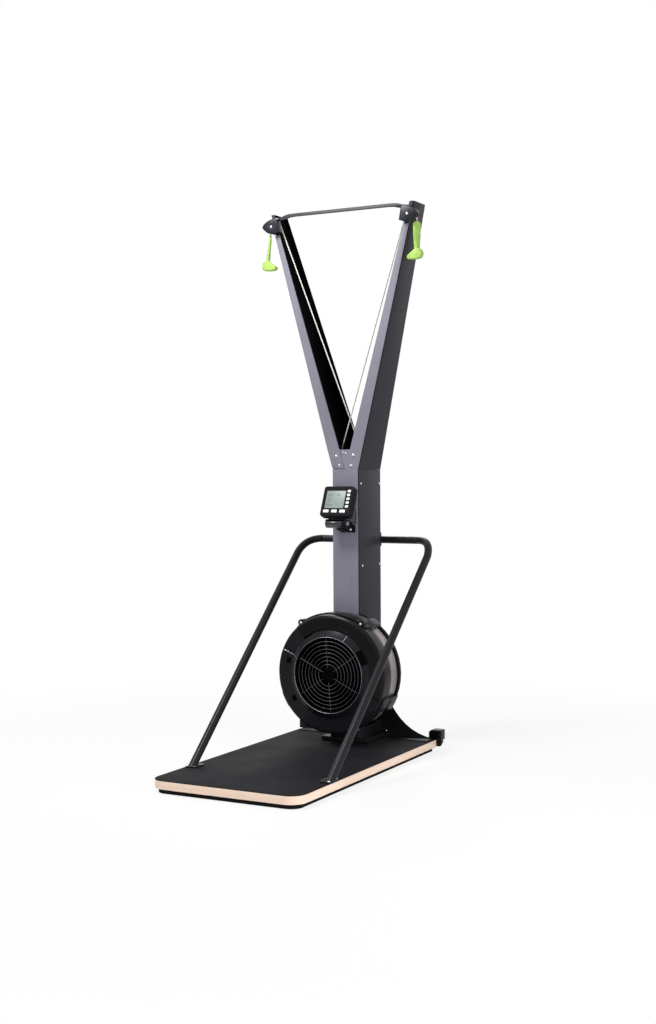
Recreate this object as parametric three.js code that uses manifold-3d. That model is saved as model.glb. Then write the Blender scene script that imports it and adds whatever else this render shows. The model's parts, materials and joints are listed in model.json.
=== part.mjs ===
// Ski trainer machine: a deck with a column, two raised arms that carry the pull cords,
// and an air flywheel in a cage at the foot of the column.
// Millimetres. +X is the user's right, +Y points from the user to the column, +Z is up.
// Places along Z are counted from the floor. Places along Y are set by the deck's rear edge, at deckRear,
// because a longer deck reaches further forward. The whole group is then moved along Y, so that the
// origin is the middle of the footprint.

import * as THREE from 'three';
import { mergeVertices } from 'three/addons/utils/BufferGeometryUtils.js';
import Module from 'manifold-3d';

const wasm = await Module();
wasm.setup();

// Clearances
const seat = 0.3; // between a piece and what it rests on
const overrun = 5; // how far a cutting body runs past the face that it cuts

// Deck
const deckWidth = 600;
const deckLength = 1106;
const deckRear = 1106;
const deckCornerRadius = 60;
const boardThickness = 28.4;
const matThickness = 2;
const matInset = 1;
const railHeight = 17;
const railWidth = 34;
const railInset = 14;
const railRearInset = 4;

// Column
const columnWidth = 110;
const columnFront = 915;
const columnDepth = 200;
const columnWall = 4;
const columnLip = 18;
const grooveWidth = 6; // shadow groove between the front plate and the side
const grooveDepth = 3;
const frontPlate = 3;
const junctionHeight = 1116; // where the arms start

// Arms
const armTopHeight = 2129.5;
const armTopReach = 313; // from the centre plane to the outer face
const armTopFront = 884;
const armTopDepth = 108;
const armFlangeFoot = 55;
const armFlangeTop = 18;
const armWall = 3;
const armCap = 3;
const valleyRise = 79; // lip at the bottom of the V, above the junction
const valleyLip = 14;
const stripEndRise = 6; // rounded lower end of the left strip, above the junction

// Junction bracket
const bracketTail = 56; // the bracket's foot under the junction
const bracketSink = 4; // bracket's top under the lip at the bottom of the V
const bracketPlate = 4;
const bracketSideGap = 0.5;
const bracketArmGap = 1;
const idlerSink = 19; // idler pins under the same lip
const idlerSpread = 27;
const idlerGroove = 15.5;
const idlerFlange = 19.5;
const idlerWidth = 9;
const idlerPin = 5;
const cordSlotDepth = 9;
const cordSlotLength = 44;
const saddleDrop = 116; // bungee saddle under the junction
const saddleWidth = 20;
const saddleStem = 26;

// Heads
const headReach = 296.6; // from the centre plane to the pulley pin
const headDrop = 51.5; // pulley pin under the arms' top
const stripShort = 32; // the light strips end this far under the pulley pin
const headFront = 862;
const headPlate = 3;
const headBack = 887.2;
const headWidth = 78;
const headRise = 64;
const headWall = 3;
const headPin = 6;
const headPinEnd = 906;
const pulleyCentre = 899;
const pulleyGroove = 20.9;
const pulleyFlange = 26;
const pulleyWidth = 11;
const pulleySlotGap = 1.5;

// Cross brace
const braceSink = 7.5; // brace's middle under the arms' top
const braceTall = 13.4;
const braceThickness = 5;
const braceBendLength = 95; // the ends turn down over this length
const braceTopDrop = 14;
const braceFootDrop = 9;

// Cords
const cordRadius = 2.5;
const cordSetback = 57; // where the cords run down, behind the column's front
const cordCross = 6; // the two cords pass each other this far apart
const bungeeRadius = 4;
const drumCordRise = 172; // the cord's tail ends this far above the drum's axis
const dropStretch = 25; // cord between the top pulley's axis and the handle

// Handles
const handleLength = 145;
const handleLeanOut = 8; // of the lower end from the cord's line
const handleLeanFront = 16.6;
const handleShaftShort = 11;
const handleShaftBroad = 36;
const handleNeck = 21;
const handleTurnShare = 1 / 3; // of a half turn, from facing the user to facing outward
const footLength = 57;
const footTall = 40;
const footThick = 24;
const footSetback = 4.6; // behind the shaft's lower end
const footRounding = 6;
const footSwellShare = 0.6; // how far the rounding reaches outward, of its depth

// Flywheel and its shaft
const axleHeight = 328;
const axleRadius = 10;
const axleFront = 776;
const axleBack = 1104;
const axleCollar = 15;
const axleCollarFront = 897;
const axleCollarBack = 902;
const bearingBore = 10.3;
const bearingRadius = 24;
const bearingFlange = 29;
const frontBearingFront = 904;
const frontBearingBack = 928;
const bearingFlangeThickness = 5;
const rearBearingFront = 1080;
const flywheelHub = 28;
const flywheelRadius = 205;
const flywheelFront = 800;
const flywheelBack = 896;
const flywheelDisc = 5;
const flywheelDiscFront = 882;
const flywheelRimFront = 852;
const flywheelRim = 14;
const bladeCount = 18;
const bladeThickness = 2.5;
const bladeFoot = 56;

// Drive drums
const drumGroove = 40;
const drumFlange = 45.5;
const drumWidth = 30;
const drumFlangeThickness = 2.5;
const rightDrumCentre = 955;
const leftDrumCentre = 992;

// Cage
const cageFront = 779;
const cageOpening = 144.6;
const cageLip = 762;
const cageRadius = 230;
const cageRimBack = 846;
const cageWall = 3;
const coneFoot = 172;
const annulusEdge = 219;
const annulusFold = 226;
const rimFold = 9; // how far back the front cover's edge curls
const bandRadius = 222.6;
const bandWall = 2.2;
const bandFront = 836;
const bandBack = 922;
const rearRimRadius = 231;
const rearRimFront = 918;
const rearRimBack = 935;
const recessSide = 3;
const lugHeight = 8;
const lugSpan = 15; // degrees round the rim
const lugFront = 796;
const sideClipAngles = [118, -118]; // degrees from the top, towards +X
const topClipAngle = -36;
const shellRadius = 238; // raised part of the front cover, between the two ears
const shellMiddle = 0.5; // degrees
const shellSpan = 75; // degrees
const earAngles = [-35, 32]; // degrees
const earReach = 235;
const earRadius = 15;
const earDepth = 30;
const cageSides = 48;
const fullTurn = 360; // degrees

// Grille in the front cover
const grilleFront = 765;
const grilleWire = 2.4;
const grilleRings = 7;
const grilleSpokes = 6;
const grilleHub = 27;
const grilleEdge = 4;
const grilleSides = 24;

// Damper band
const damperWall = 6.4;
const damperFront = 866;
const damperBack = 913;
const damperStart = -28; // degrees
const damperEnd = 38.5; // degrees
const leverSpan = 8.5; // degrees
const leverRadius = 246;

// Cage support on the plinth
const saddleBlockWidth = 114;
const saddleBlockDepth = 18;
const saddleBlockGap = 9; // between the block and the column

// Base bracket
const flareInset = 10; // inside the deck's side
const flareTop = 290;
const flareWidth = 62;
const flareBendReach = 118;
const flareBendHeight = 72;
const flarePlate = 3;
const flareSetIn = 5; // in front of the deck's rear edge
const flareFootDepth = 62;
const plinthReach = 100;
const plinthFront = 893;
const plinthHeight = 17;
const flareSteps = 10;
const footSideFront = 935.5;
const footSideTop = 180;
const footSideStep = 95; // the low part runs forward under the cage

// Support tube
const tubeRadius = 15;
const tubeBarHeight = 833.5;
const tubeBarSetback = 16.5; // bar's axis behind the column
const tubeFootInset = 16; // inside the deck's side
const tubeFootDepth = 255;
const tubeShoulderInset = 8.5;
const tubeShoulderLead = 85.5; // in front of the bar's axis
const tubeShoulderHeight = 775.5;
const tubeCornerInset = 16;
const tubeCornerLead = 28.5;
const tubeCornerHeight = 836.5;
const tubeBarInset = 87; // the level bar ends here
const tubeSides = 16;
const tubeBendPieces = 12;
const tubeFlangeWidth = 48;
const tubeFlangeLength = 66;
const tubeFlangeRounding = 12;
const tubeFlangeThickness = 5;
const tubeBurial = 30;
const clampWidth = 84;
const clampTall = 56;
const clampCover = 18.5; // behind the bar's axis

// Transport wheels
const wheelRadius = 24;
const wheelWidth = 26;
const wheelInset = 6; // wheel's middle inside the deck's side
const wheelSetback = 29; // axle behind the deck
const wheelHeight = 39;
const wheelBore = 5.3;
const wheelShoulder = 2.5;
const wheelPin = 5;
const hoodWall = 4;
const hoodWidth = 52;
const hoodCheek = 5;
const cheekLength = 20;
const hoodSideGap = 1.5;
const hoodSetback = 40; // hood's back behind the deck
const hoodTop = 84;
const hoodFoot = 45;
const hoodRounding = 14;
const hoodGap = 14;

// Monitor
const monitorWidth = 132;
const monitorFoot = -4;
const monitorHead = 121;
const monitorThickness = 30;
const monitorCorner = 9;
const monitorBevel = 2;
const monitorFootDepth = 824;
const monitorFootHeight = 941;
const monitorLean = 22.9; // degrees back from upright
const screenLeft = -51;
const screenRight = 32;
const screenBottom = 29;
const screenTop = 102;
const screenThickness = 2;
const buttonThickness = 4.5;
const buttonProud = 1.6;
const buttonTravel = 1;
const sideButtonReach = 45.7;
const sideButtonTop = 100;
const sideButtonPitch = 15.9;
const sideButtonWidth = 13;
const sideButtonTall = 10;
const lowButtonHeight = 17;
const lowButtonLeft = -41;
const lowButtonPitch = 35.5;
const lowButtonWidth = 24;
const lowButtonTall = 12;
const buttonRounding = 2.5;
const buttonGap = 0.4;

// Monitor hinge
const hingeDepth = 862;
const hingeHeight = 908;
const barrelRadius = 19;
const barrelLeft = -52;
const barrelRight = 20;
const barrelEndGap = 0.4;
const earThickness = 11;
const knobRadius = 8;
const knobLength = 9;
const knobStem = 3;
const stemGap = 0.3;
const stemReach = 8;
const neckLeft = -42;
const neckRight = 6;
const neckPlate = 4;
const neckTall = 34;
const neckDrop = 2;
const neckThick = 12;
const wedgeLeft = -12;
const wedgeFootTop = 900;
const wedgeFootBottom = 871;
const wedgePlate = 6;
const wedgeFootReach = 44;
const cableRadius = 2;
const cableReach = 50;
const cableExit = 52; // height up the housing's back
const cableLead = 9; // straight cable at each end
const cableSlack = 40;
const cableEndReach = 47;
const cableEndHeight = 909;
const cablePieces = 12;

// Derived places
const boardBottom = railHeight + seat;
const boardTop = boardBottom + boardThickness;
const deckTop = boardTop + seat + matThickness;
const onDeck = deckTop + seat;
const deckHalf = deckWidth / 2;
const columnBack = columnFront + columnDepth;
const columnHalf = columnWidth / 2;
const deckFront = deckRear - deckLength;
const wheelDepth = deckRear + wheelSetback;
const wheelReach = deckHalf - wheelInset;
const hoodBack = deckRear + hoodSetback;
const rearEnd = wheelDepth + wheelRadius;
const flareBack = deckRear - flareSetIn;
const flareReach = deckHalf - flareInset;
const tubeBarDepth = columnBack + tubeBarSetback;
const tubeShoulderDepth = tubeBarDepth - tubeShoulderLead;
const tubeCornerDepth = tubeBarDepth - tubeCornerLead;
const clampBack = tubeBarDepth + clampCover;
const tubeFootReach = deckHalf - tubeFootInset;
const tubeShoulderReach = deckHalf - tubeShoulderInset;
const tubeCornerReach = deckHalf - tubeCornerInset;
const tubeBarReach = deckHalf - tubeBarInset;
const headHeight = armTopHeight - headDrop;
const braceHeight = armTopHeight - braceSink;
const stripTopHeight = headHeight - stripShort;
const valleyHeight = junctionHeight + valleyRise;
const stripEndHeight = junctionHeight + stripEndRise;
const bracketFoot = junctionHeight - bracketTail;
const saddleHeight = junctionHeight - saddleDrop;
const bracketTop = valleyHeight - bracketSink;
const idlerHeight = valleyHeight - idlerSink;
const armRun = armTopHeight - junctionHeight;
const cordRing = pulleyGroove + cordRadius;
const bungeeTrack = drumGroove + cordRadius + seat;
const dropReach = headReach + cordRing;
const dropTop = headHeight - cordRing / 4; // where the drive cord hands over to the drop cord

// Arm outlines at height z, as straight tapers from the junction to the top
const taper = (foot, top) => (z) => foot + ((top - foot) * (z - junctionHeight)) / armRun;
const armReach = taper(columnHalf, armTopReach);
const armFront = taper(columnFront, armTopFront);
const armBack = taper(columnBack, armTopFront + armTopDepth);
const armFlange = taper(armFlangeFoot, armFlangeTop);

// Finishes
const finish = (color, roughness, metalness) => () =>
  new THREE.MeshStandardMaterial({ color, roughness, metalness });
const plywood = finish(0xe8c4aa, 0.6, 0);
const gripRubber = finish(0x232326, 0.9, 0);
const darkPaint = finish(0x444247, 0.45, 0.3);
const lightPaint = finish(0x8f8c99, 0.4, 0.4);
const blackSteel = finish(0x141417, 0.5, 0.3);
const blackPlastic = finish(0x101013, 0.5, 0);
const meshSteel = finish(0x8a8080, 0.5, 0.5);
const greyPlastic = finish(0x5b5a60, 0.5, 0);
const brightSteel = finish(0xc8c8cc, 0.25, 1);
const greenPlastic = finish(0xa5cf5c, 0.45, 0);
const braidedCord = finish(0xd8d2c4, 0.8, 0);
const screenGlass = finish(0xb4c7b8, 0.2, 0);
const whiteRubber = finish(0xf2f2f2, 0.6, 0);

// A closed mesh with shared vertices and outward faces, from any geometry
function closed(geometry) {
  const bare = geometry.index ? geometry.clone() : geometry;
  for (const name of ['normal', 'uv', 'tangent']) bare.deleteAttribute(name);
  const merged = mergeVertices(bare);
  merged.clearGroups();
  const place = merged.getAttribute('position');
  const index = merged.index.array;
  const [a, b, c] = [new THREE.Vector3(), new THREE.Vector3(), new THREE.Vector3()];
  let volume = 0;
  for (let i = 0; i < index.length; i += 3) {
    a.fromBufferAttribute(place, index[i]);
    b.fromBufferAttribute(place, index[i + 1]);
    c.fromBufferAttribute(place, index[i + 2]);
    volume += a.dot(b.cross(c));
  }
  if (volume < 0) {
    for (let i = 0; i < index.length; i += 3) [index[i], index[i + 1]] = [index[i + 1], index[i]];
  }
  return merged;
}

function toSolid(geometry) {
  const mesh = closed(geometry);
  const vertProperties = new Float32Array(mesh.getAttribute('position').array);
  const triVerts = new Uint32Array(mesh.index.array);
  return new wasm.Manifold(new wasm.Mesh({ numProp: 3, vertProperties, triVerts }));
}

function fromSolid(solid) {
  const mesh = solid.getMesh();
  const geometry = new THREE.BufferGeometry();
  geometry.setAttribute('position', new THREE.BufferAttribute(new Float32Array(mesh.vertProperties), 3));
  geometry.setIndex(new THREE.BufferAttribute(new Uint32Array(mesh.triVerts), 1));
  return geometry;
}

const join = (first, ...rest) =>
  fromSolid(rest.reduce((whole, piece) => whole.add(toSolid(piece)), toSolid(first)));
const cut = (first, ...rest) =>
  fromSolid(rest.reduce((whole, piece) => whole.subtract(toSolid(piece)), toSolid(first)));
const common = (first, second) => fromSolid(toSolid(first).intersect(toSolid(second)));

// A box given by its two limits along each axis
function block([x0, x1], [y0, y1], [z0, z1]) {
  const box = new THREE.BoxGeometry(x1 - x0, y1 - y0, z1 - z0);
  return box.translate((x0 + x1) / 2, (y0 + y1) / 2, (z0 + z1) / 2);
}

const around = (centre, width) => [centre - width / 2, centre + width / 2];

// Plates: an outline in one plane, given thickness along the third axis
const outlineOf = (points) => new THREE.Shape(points.map(([u, v]) => new THREE.Vector2(u, v)));
const thicken = (shape, depth) =>
  new THREE.ExtrudeGeometry(shape, { depth, bevelEnabled: false, curveSegments: 6 });
const facingUp = (shape, z, depth) => thicken(shape, depth).translate(0, 0, z);
const facingFront = (shape, y, depth) => thicken(shape, depth).rotateX(Math.PI / 2).translate(0,
  y + depth, 0);
const axesYZX = new THREE.Matrix4().makeBasis(
  new THREE.Vector3(0, 1, 0), new THREE.Vector3(0, 0, 1), new THREE.Vector3(1, 0, 0));
const facingSide = (shape, x, depth) => thicken(shape, depth).applyMatrix4(axesYZX).translate(x, 0, 0);

function roundedOutline([u0, u1], [v0, v1], radius) {
  const shape = new THREE.Shape();
  shape.absarc(u1 - radius, v0 + radius, radius, -Math.PI / 2, 0);
  shape.absarc(u1 - radius, v1 - radius, radius, 0, Math.PI / 2);
  shape.absarc(u0 + radius, v1 - radius, radius, Math.PI / 2, Math.PI);
  shape.absarc(u0 + radius, v0 + radius, radius, Math.PI, 1.5 * Math.PI);
  return shape;
}

// Turned pieces: a profile of [radius, place along the axis]
const turned = (profile, sides) =>
  new THREE.LatheGeometry(profile.map(([r, along]) => new THREE.Vector2(r, along)), sides);
const ring = (inner, outer, from, to, sides) =>
  turned([[inner, from], [outer, from], [outer, to], [inner, to], [inner, from]], sides);
const rod = (radius, from, to, sides) => turned([[0, from], [radius, from], [radius, to], [0, to]], sides);
const alongX = (geometry) => geometry.rotateZ(-Math.PI / 2);

// A sector of a ring round the Y axis, with angles in degrees from +Z towards +X
function sector(inner, outer, from, to, middle, span) {
  const start = THREE.MathUtils.degToRad(90 - middle - span / 2);
  const end = THREE.MathUtils.degToRad(90 - middle + span / 2);
  const shape = new THREE.Shape();
  shape.absarc(0, 0, outer, start, end, false);
  shape.absarc(0, 0, inner, end, start, true);
  const steps = Math.max(2, Math.round((span * cageSides) / fullTurn));
  const plate = new THREE.ExtrudeGeometry(shape, { depth: to - from, bevelEnabled: false,
    curveSegments: steps });
  return plate.rotateX(Math.PI / 2).translate(0, to, 0);
}

// A skin over like-numbered loops of [x, y, z] points, capped at both ends
function loft(loops, flat = ([x, y]) => new THREE.Vector2(x, y)) {
  const clockwise = THREE.ShapeUtils.isClockWise(loops[0].map(flat));
  const sections = clockwise ? loops.map((points) => [...points].reverse()) : loops;
  const count = sections[0].length;
  const last = (sections.length - 1) * count;
  const index = [];
  for (let first = 0; first < last; first += count) {
    for (let i = 0; i < count; i += 1) {
      const [a, b] = [first + i, first + ((i + 1) % count)];
      index.push(a, b, b + count, a, b + count, a + count);
    }
  }
  for (const [a, b, c] of THREE.ShapeUtils.triangulateShape(sections[0].map(flat), [])) {
    index.push(a, c, b, last + a, last + b, last + c);
  }
  const geometry = new THREE.BufferGeometry();
  geometry.setAttribute('position', new THREE.Float32BufferAttribute(sections.flat(2), 3));
  geometry.setIndex(index);
  return geometry;
}

function mirrored(geometry) {
  const copy = geometry.clone();
  copy.scale(-1, 1, 1);
  return closed(copy);
}

const vec = (x, y, z) => new THREE.Vector3(x, y, z);

// A path through points, built from straight stretches, arcs round the Y axis and bends
class Route extends THREE.Curve {
  constructor(start) {
    super();
    this.points = [start];
  }

  lineTo(point) {
    this.points.push(point);
    return this;
  }

  bendTo(corner, point, pieces) {
    const bend = new THREE.QuadraticBezierCurve3(this.points.at(-1), corner, point);
    this.points.push(...bend.getPoints(pieces).slice(1));
    return this;
  }

  // The points lie a little outside the radius, so that the straight chords between them clear it
  arc(centre, radius, from, to, pieces) {
    const step = (to - from) / pieces;
    const outer = radius / Math.cos(step / 2);
    for (let i = 0; i <= pieces; i += 1) {
      const angle = from + step * i;
      this.points.push(vec(centre.x + outer * Math.cos(angle), centre.y, centre.z + outer * Math.sin(angle)));
    }
    return this;
  }

  getPoint(share) {
    const place = share * (this.points.length - 1);
    const before = Math.min(Math.floor(place), this.points.length - 2);
    return this.points[before].clone().lerp(this.points[before + 1], place - before);
  }

  getPointAt(share) {
    return this.getPoint(share);
  }

  getSpacedPoints(divisions) {
    return this.getPoints(divisions);
  }

  getTangentAt(share) {
    const step = 1 / (this.points.length - 1);
    const behind = this.getPoint(Math.max(0, share - step));
    return this.getPoint(Math.min(1, share + step)).sub(behind).normalize();
  }
}

// A tube of round section along a route
function tubeAlong(route, radius, sideCount) {
  const section = Array.from({ length: sideCount }, (_, i) => {
    const angle = (2 * Math.PI * i) / sideCount;
    return [radius * Math.cos(angle), radius * Math.sin(angle)];
  });
  return new THREE.ExtrudeGeometry(outlineOf(section),
    { steps: route.points.length - 1, bevelEnabled: false, extrudePath: route });
}

const root = new THREE.Group();
root.name = 'ski_trainer_machine';
root.position.y = -(deckFront + rearEnd) / 2;

function add(name, geometry, material, parent = root) {
  const mesh = new THREE.Mesh(closed(geometry), material());
  mesh.name = name;
  parent.add(mesh);
  return mesh;
}

// Sides of the machine: -1 is the user's left and +1 the user's right
const sides = [['left', -1], ['right', 1]];
const forSide = (side, geometry) => (side < 0 ? mirrored(geometry) : geometry);

// Deck: a board with two rounded front corners, a mat on it, a rail under each long edge
// and one under the front edge that follows both corners
function deckOutline(inset) {
  const half = deckHalf - inset;
  const radius = deckCornerRadius - inset;
  const shape = new THREE.Shape();
  const cornerDepth = deckFront + inset + radius;
  shape.moveTo(-half, deckRear - inset);
  shape.lineTo(-half, cornerDepth);
  shape.absarc(-half + radius, cornerDepth, radius, Math.PI, 1.5 * Math.PI);
  shape.absarc(half - radius, cornerDepth, radius, 1.5 * Math.PI, 2 * Math.PI);
  shape.lineTo(half, deckRear - inset);
  return shape;
}
add('deck_board', facingUp(deckOutline(0), boardBottom, boardThickness), plywood);
add('deck_mat', facingUp(deckOutline(matInset), boardTop + seat, matThickness), gripRubber);
const railCornerEnd = deckFront + deckCornerRadius;
for (const [side, sign] of sides) {
  const outer = deckHalf - railInset;
  const railSpan = [railCornerEnd + seat, deckRear - railRearInset];
  add(`foot_rail_${side}`, forSide(sign, block([outer - railWidth, outer], railSpan, [0, railHeight])),
    gripRubber);
}
const railRing = cut(
  facingUp(deckOutline(railInset), 0, railHeight),
  facingUp(deckOutline(railInset + railWidth), -overrun, railHeight + 2 * overrun));
const railBend = block([-deckHalf, deckHalf], [deckFront, railCornerEnd], [0, railHeight]);
add('foot_rail_front', common(railRing, railBend), gripRubber);

// Column: an open channel closed by the front plate
const neckHalf = columnHalf - grooveDepth;
const channelFront = columnFront + frontPlate + seat;
const channelInner = neckHalf - columnWall;
const lipHalf = channelInner - columnLip;
const columnHalfSection = [
  [neckHalf, channelFront], [neckHalf, channelFront + grooveWidth],
  [columnHalf, channelFront + grooveWidth], [columnHalf, columnBack]];
const columnInnerSection = [
  [channelInner, columnBack - columnWall], [channelInner, channelFront + columnWall],
  [lipHalf, channelFront + columnWall], [lipHalf, channelFront]];
const flip = ([x, y]) => [-x, y];
const columnSection = [
  ...columnHalfSection,
  ...[...columnHalfSection].reverse().map(flip),
  ...[...columnInnerSection].reverse().map(flip),
  ...columnInnerSection];
add('column_channel',
  facingUp(outlineOf(columnSection), onDeck, junctionHeight - seat - onDeck), darkPaint);

// The front plate runs on into the strip of the right arm. The left arm's own strip lies over it.
const lowerPlate = block([-columnHalf, columnHalf], [columnFront, columnFront + frontPlate],
  [onDeck, junctionHeight]);
const slab = (z, left, right, front = armFront(z)) => [
  [left, front, z], [right, front, z], [right, front + frontPlate, z], [left, front + frontPlate, z]];
const valleyInner = armReach(valleyHeight) - armFlange(valleyHeight);
const middlePlate = loft([
  slab(junctionHeight, -columnHalf, columnHalf),
  slab(valleyHeight, -valleyInner, armReach(valleyHeight))]);
const rightStrip = loft([
  slab(valleyHeight, valleyInner, armReach(valleyHeight)),
  slab(stripTopHeight, armReach(stripTopHeight) - armFlange(stripTopHeight), armReach(stripTopHeight))]);
const lipHalfWidth = valleyInner - frontPlate;
const lipPlate = block([-lipHalfWidth, lipHalfWidth],
  [armFront(valleyHeight), armFront(valleyHeight) + valleyLip], [valleyHeight - frontPlate, valleyHeight]);
const bearingHole = rod(bearingRadius + seat, columnFront - overrun, columnFront + overrun, cageSides)
  .translate(0, 0, axleHeight);
add('column_front', cut(join(lowerPlate, middlePlate, rightStrip, lipPlate), bearingHole), lightPaint);

const leftStrip = loft([
  slab(stripEndHeight, -armFlangeFoot / 2 - armFlange(stripEndHeight) / 2, -overrun / 2,
    armFront(stripEndHeight) - frontPlate - seat),
  slab(valleyHeight, -armReach(valleyHeight), -valleyInner, armFront(valleyHeight) - frontPlate - seat),
  slab(stripTopHeight, -armReach(stripTopHeight), armFlange(stripTopHeight) - armReach(stripTopHeight),
    armFront(stripTopHeight) - frontPlate - seat)]);
add('arm_strip_left', leftStrip, lightPaint);

// Arms: tapered channels, open on the inner side, with a slot for the top pulley
function armSection(z, lid) {
  const reach = armReach(z);
  const front = armFront(z) + frontPlate + seat;
  const back = armBack(z);
  const flange = lid ? reach : armFlange(z);
  const web = grooveDepth + armWall;
  const outer = [
    [reach - grooveDepth, front], [reach - grooveDepth, front + grooveWidth], [reach, front + grooveWidth],
    [reach, back], [reach - flange, back]];
  const inner = [
    [reach - flange, back - armWall], [reach - web, back - armWall],
    [reach - web, front + armWall], [reach - flange, front + armWall], [reach - flange, front]];
  return [...outer, ...inner].map(([x, y]) => [x, y, z]);
}
function capSection(z) {
  const reach = armReach(z);
  const front = armFront(z) + frontPlate + seat;
  return [
    [reach - armFlange(z), front, z], [reach - grooveDepth, front, z],
    [reach - grooveDepth, armBack(z), z], [reach - armFlange(z), armBack(z), z]];
}
const pulleySlot = block(
  [headReach - pulleyFlange - pulleySlotGap, headReach + pulleyFlange + overrun],
  around(pulleyCentre, pulleyWidth + 2 * pulleySlotGap),
  around(headHeight, 2 * (pulleyFlange + pulleySlotGap)));
const pinHole = rod(headPin + seat, headFront, pulleyCentre, grilleSides).translate(headReach, 0, headHeight);
const armBody = cut(
  join(loft([armSection(junctionHeight), armSection(armTopHeight)]),
    loft([capSection(armTopHeight - armCap), capSection(armTopHeight)])),
  pulleySlot, pinHole);
for (const [side, sign] of sides) add(`arm_channel_${side}`, forSide(sign, armBody), darkPaint);

// Junction bracket: front and rear plates joined by a web, with both idler pins and the bungee saddle
const bracketFront = channelFront + columnWall + seat;
const bracketBack = armBack(valleyHeight) - armWall - bracketArmGap;
const bracketHalf = channelInner - bracketSideGap;
const bracketHalfTop = armReach(bracketTop) - grooveDepth - armWall - bracketArmGap;
const bracketHalfFoot = armReach(junctionHeight) - grooveDepth - armWall - bracketArmGap;
const bracketOutline = outlineOf([
  [-bracketHalf, bracketFoot], [bracketHalf, bracketFoot], [bracketHalfFoot, junctionHeight],
  [bracketHalfTop, bracketTop], [-bracketHalfTop, bracketTop], [-bracketHalfFoot, junctionHeight]]);
const cordCentre = columnFront + cordSetback;
const rightCordDepth = cordCentre - cordCross;
const leftCordDepth = cordCentre + cordCross;
const idlerTrack = idlerSpread + idlerGroove + cordRadius;
const bracketWeb = block([-bracketHalf, bracketHalf], [bracketFront, bracketBack],
  [bracketFoot, bracketFoot + bracketPlate]);
const webSlot = block([idlerTrack - cordSlotDepth, bracketHalf + overrun], around(cordCentre, cordSlotLength),
  [bracketFoot - overrun, bracketFoot + bracketPlate + overrun]);
const saddleRadius = bungeeTrack - bungeeRadius - seat;
const bungeeDepth = (rightDrumCentre + leftDrumCentre) / 2;
const saddle = rod(saddleRadius, ...around(bungeeDepth, saddleWidth), grilleSides).translate(0, 0,
  saddleHeight);
const saddleBelow = block([-columnWidth, columnWidth], around(bungeeDepth, saddleWidth + overrun),
  [saddleHeight - columnWidth, saddleHeight]);
const saddleHanger = block(around(0, saddleStem), around(bungeeDepth, saddleWidth),
  [saddleHeight + overrun, saddleHeight + saddleRadius - overrun]);
const hangerPlates = around(bungeeDepth, saddleWidth + 2 * (bungeeRadius + bracketPlate)).map((y, i) =>
  block(around(0, saddleStem), i ? [y - bracketPlate, y] : [y, y + bracketPlate],
    [saddleHeight, bracketFoot + overrun / 2]));
const hangerBolt = rod(idlerPin, ...around(bungeeDepth,
  saddleWidth + 2 * (bungeeRadius + bracketPlate)), grilleSides)
  .translate(0, 0, saddleHeight + idlerPin * 2);
const idlerPins = sides.map(([, sign]) =>
  rod(idlerPin, bracketFront + bracketPlate / 2, bracketBack - bracketPlate / 2, grilleSides)
    .translate(sign * idlerSpread, 0, idlerHeight));
add('junction_bracket', cut(
  join(facingFront(bracketOutline, bracketFront, bracketPlate),
    facingFront(bracketOutline, bracketBack - bracketPlate, bracketPlate),
    bracketWeb, saddleHanger, cut(saddle, saddleBelow), ...hangerPlates, hangerBolt, ...idlerPins),
  webSlot, mirrored(webSlot)), blackSteel);

// A grooved pulley round the Y axis at the origin
const pulley = (bore, groove, flange, width) => turned([
  [bore, -width / 2], [flange, -width / 2], [flange, -width / 3], [groove, -width / 8],
  [groove, width / 8], [flange, width / 3], [flange, width / 2], [bore, width / 2], [bore,
    -width / 2]], grilleSides);

for (const [side, sign] of sides) {
  const depth = sign > 0 ? rightCordDepth : leftCordDepth;
  const idler = add(`idler_pulley_${side}`,
    pulley(idlerPin + seat, idlerGroove, idlerFlange, idlerWidth), blackPlastic);
  idler.position.set(-sign * idlerSpread, depth, idlerHeight);
}

// Heads: a leaf-shaped plate over a shallow housing that carries the pulley's pin.
// The outline is in shares of the head's width and rise from the pulley's axis.
const headShares = {
  root: [-0.45, -0.33],
  chin: [-0.1, -0.47],
  cheek: [0.22, -0.36],
  cheekBend: [0.39, -0.21],
  tipBelow: [0.49, -0.08],
  tip: [0.54, 0],
  tipAbove: [0.5, 0.1],
  browBend: [0.41, 0.28],
  brow: [0.14, 0.42],
  crown: [-0.23, 0.55],
  nape: [-0.34, 0.46],
};
function headOutline(inset) {
  const place = ([u, v]) => [
    headReach + u * (headWidth - 2 * inset),
    headHeight + v * (headRise - 2 * inset)];
  const shape = new THREE.Shape();
  shape.moveTo(...place(headShares.root));
  shape.lineTo(...place(headShares.chin));
  shape.lineTo(...place(headShares.cheek));
  shape.quadraticCurveTo(...place(headShares.cheekBend), ...place(headShares.tipBelow));
  shape.quadraticCurveTo(...place(headShares.tip), ...place(headShares.tipAbove));
  shape.quadraticCurveTo(...place(headShares.browBend), ...place(headShares.brow));
  shape.lineTo(...place(headShares.crown));
  shape.lineTo(...place(headShares.nape));
  return shape;
}
const housingFront = headFront + headPlate + seat;
const housingBody = join(
  cut(facingFront(headOutline(0), housingFront, headBack - housingFront),
    facingFront(headOutline(headWall), housingFront - overrun, headBack - headWall - housingFront + overrun)),
  rod(headPin, housingFront + seat, headPinEnd, grilleSides).translate(headReach, 0, headHeight));
for (const [side, sign] of sides) {
  add(`head_plate_${side}`, forSide(sign, facingFront(headOutline(0), headFront, headPlate)), blackSteel);
  add(`head_housing_${side}`, forSide(sign, housingBody), blackPlastic);
  const wheel = add(`top_pulley_${side}`,
    pulley(headPin + seat, pulleyGroove, pulleyFlange, pulleyWidth), blackPlastic);
  wheel.position.set(sign * headReach, pulleyCentre, headHeight);
}

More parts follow.
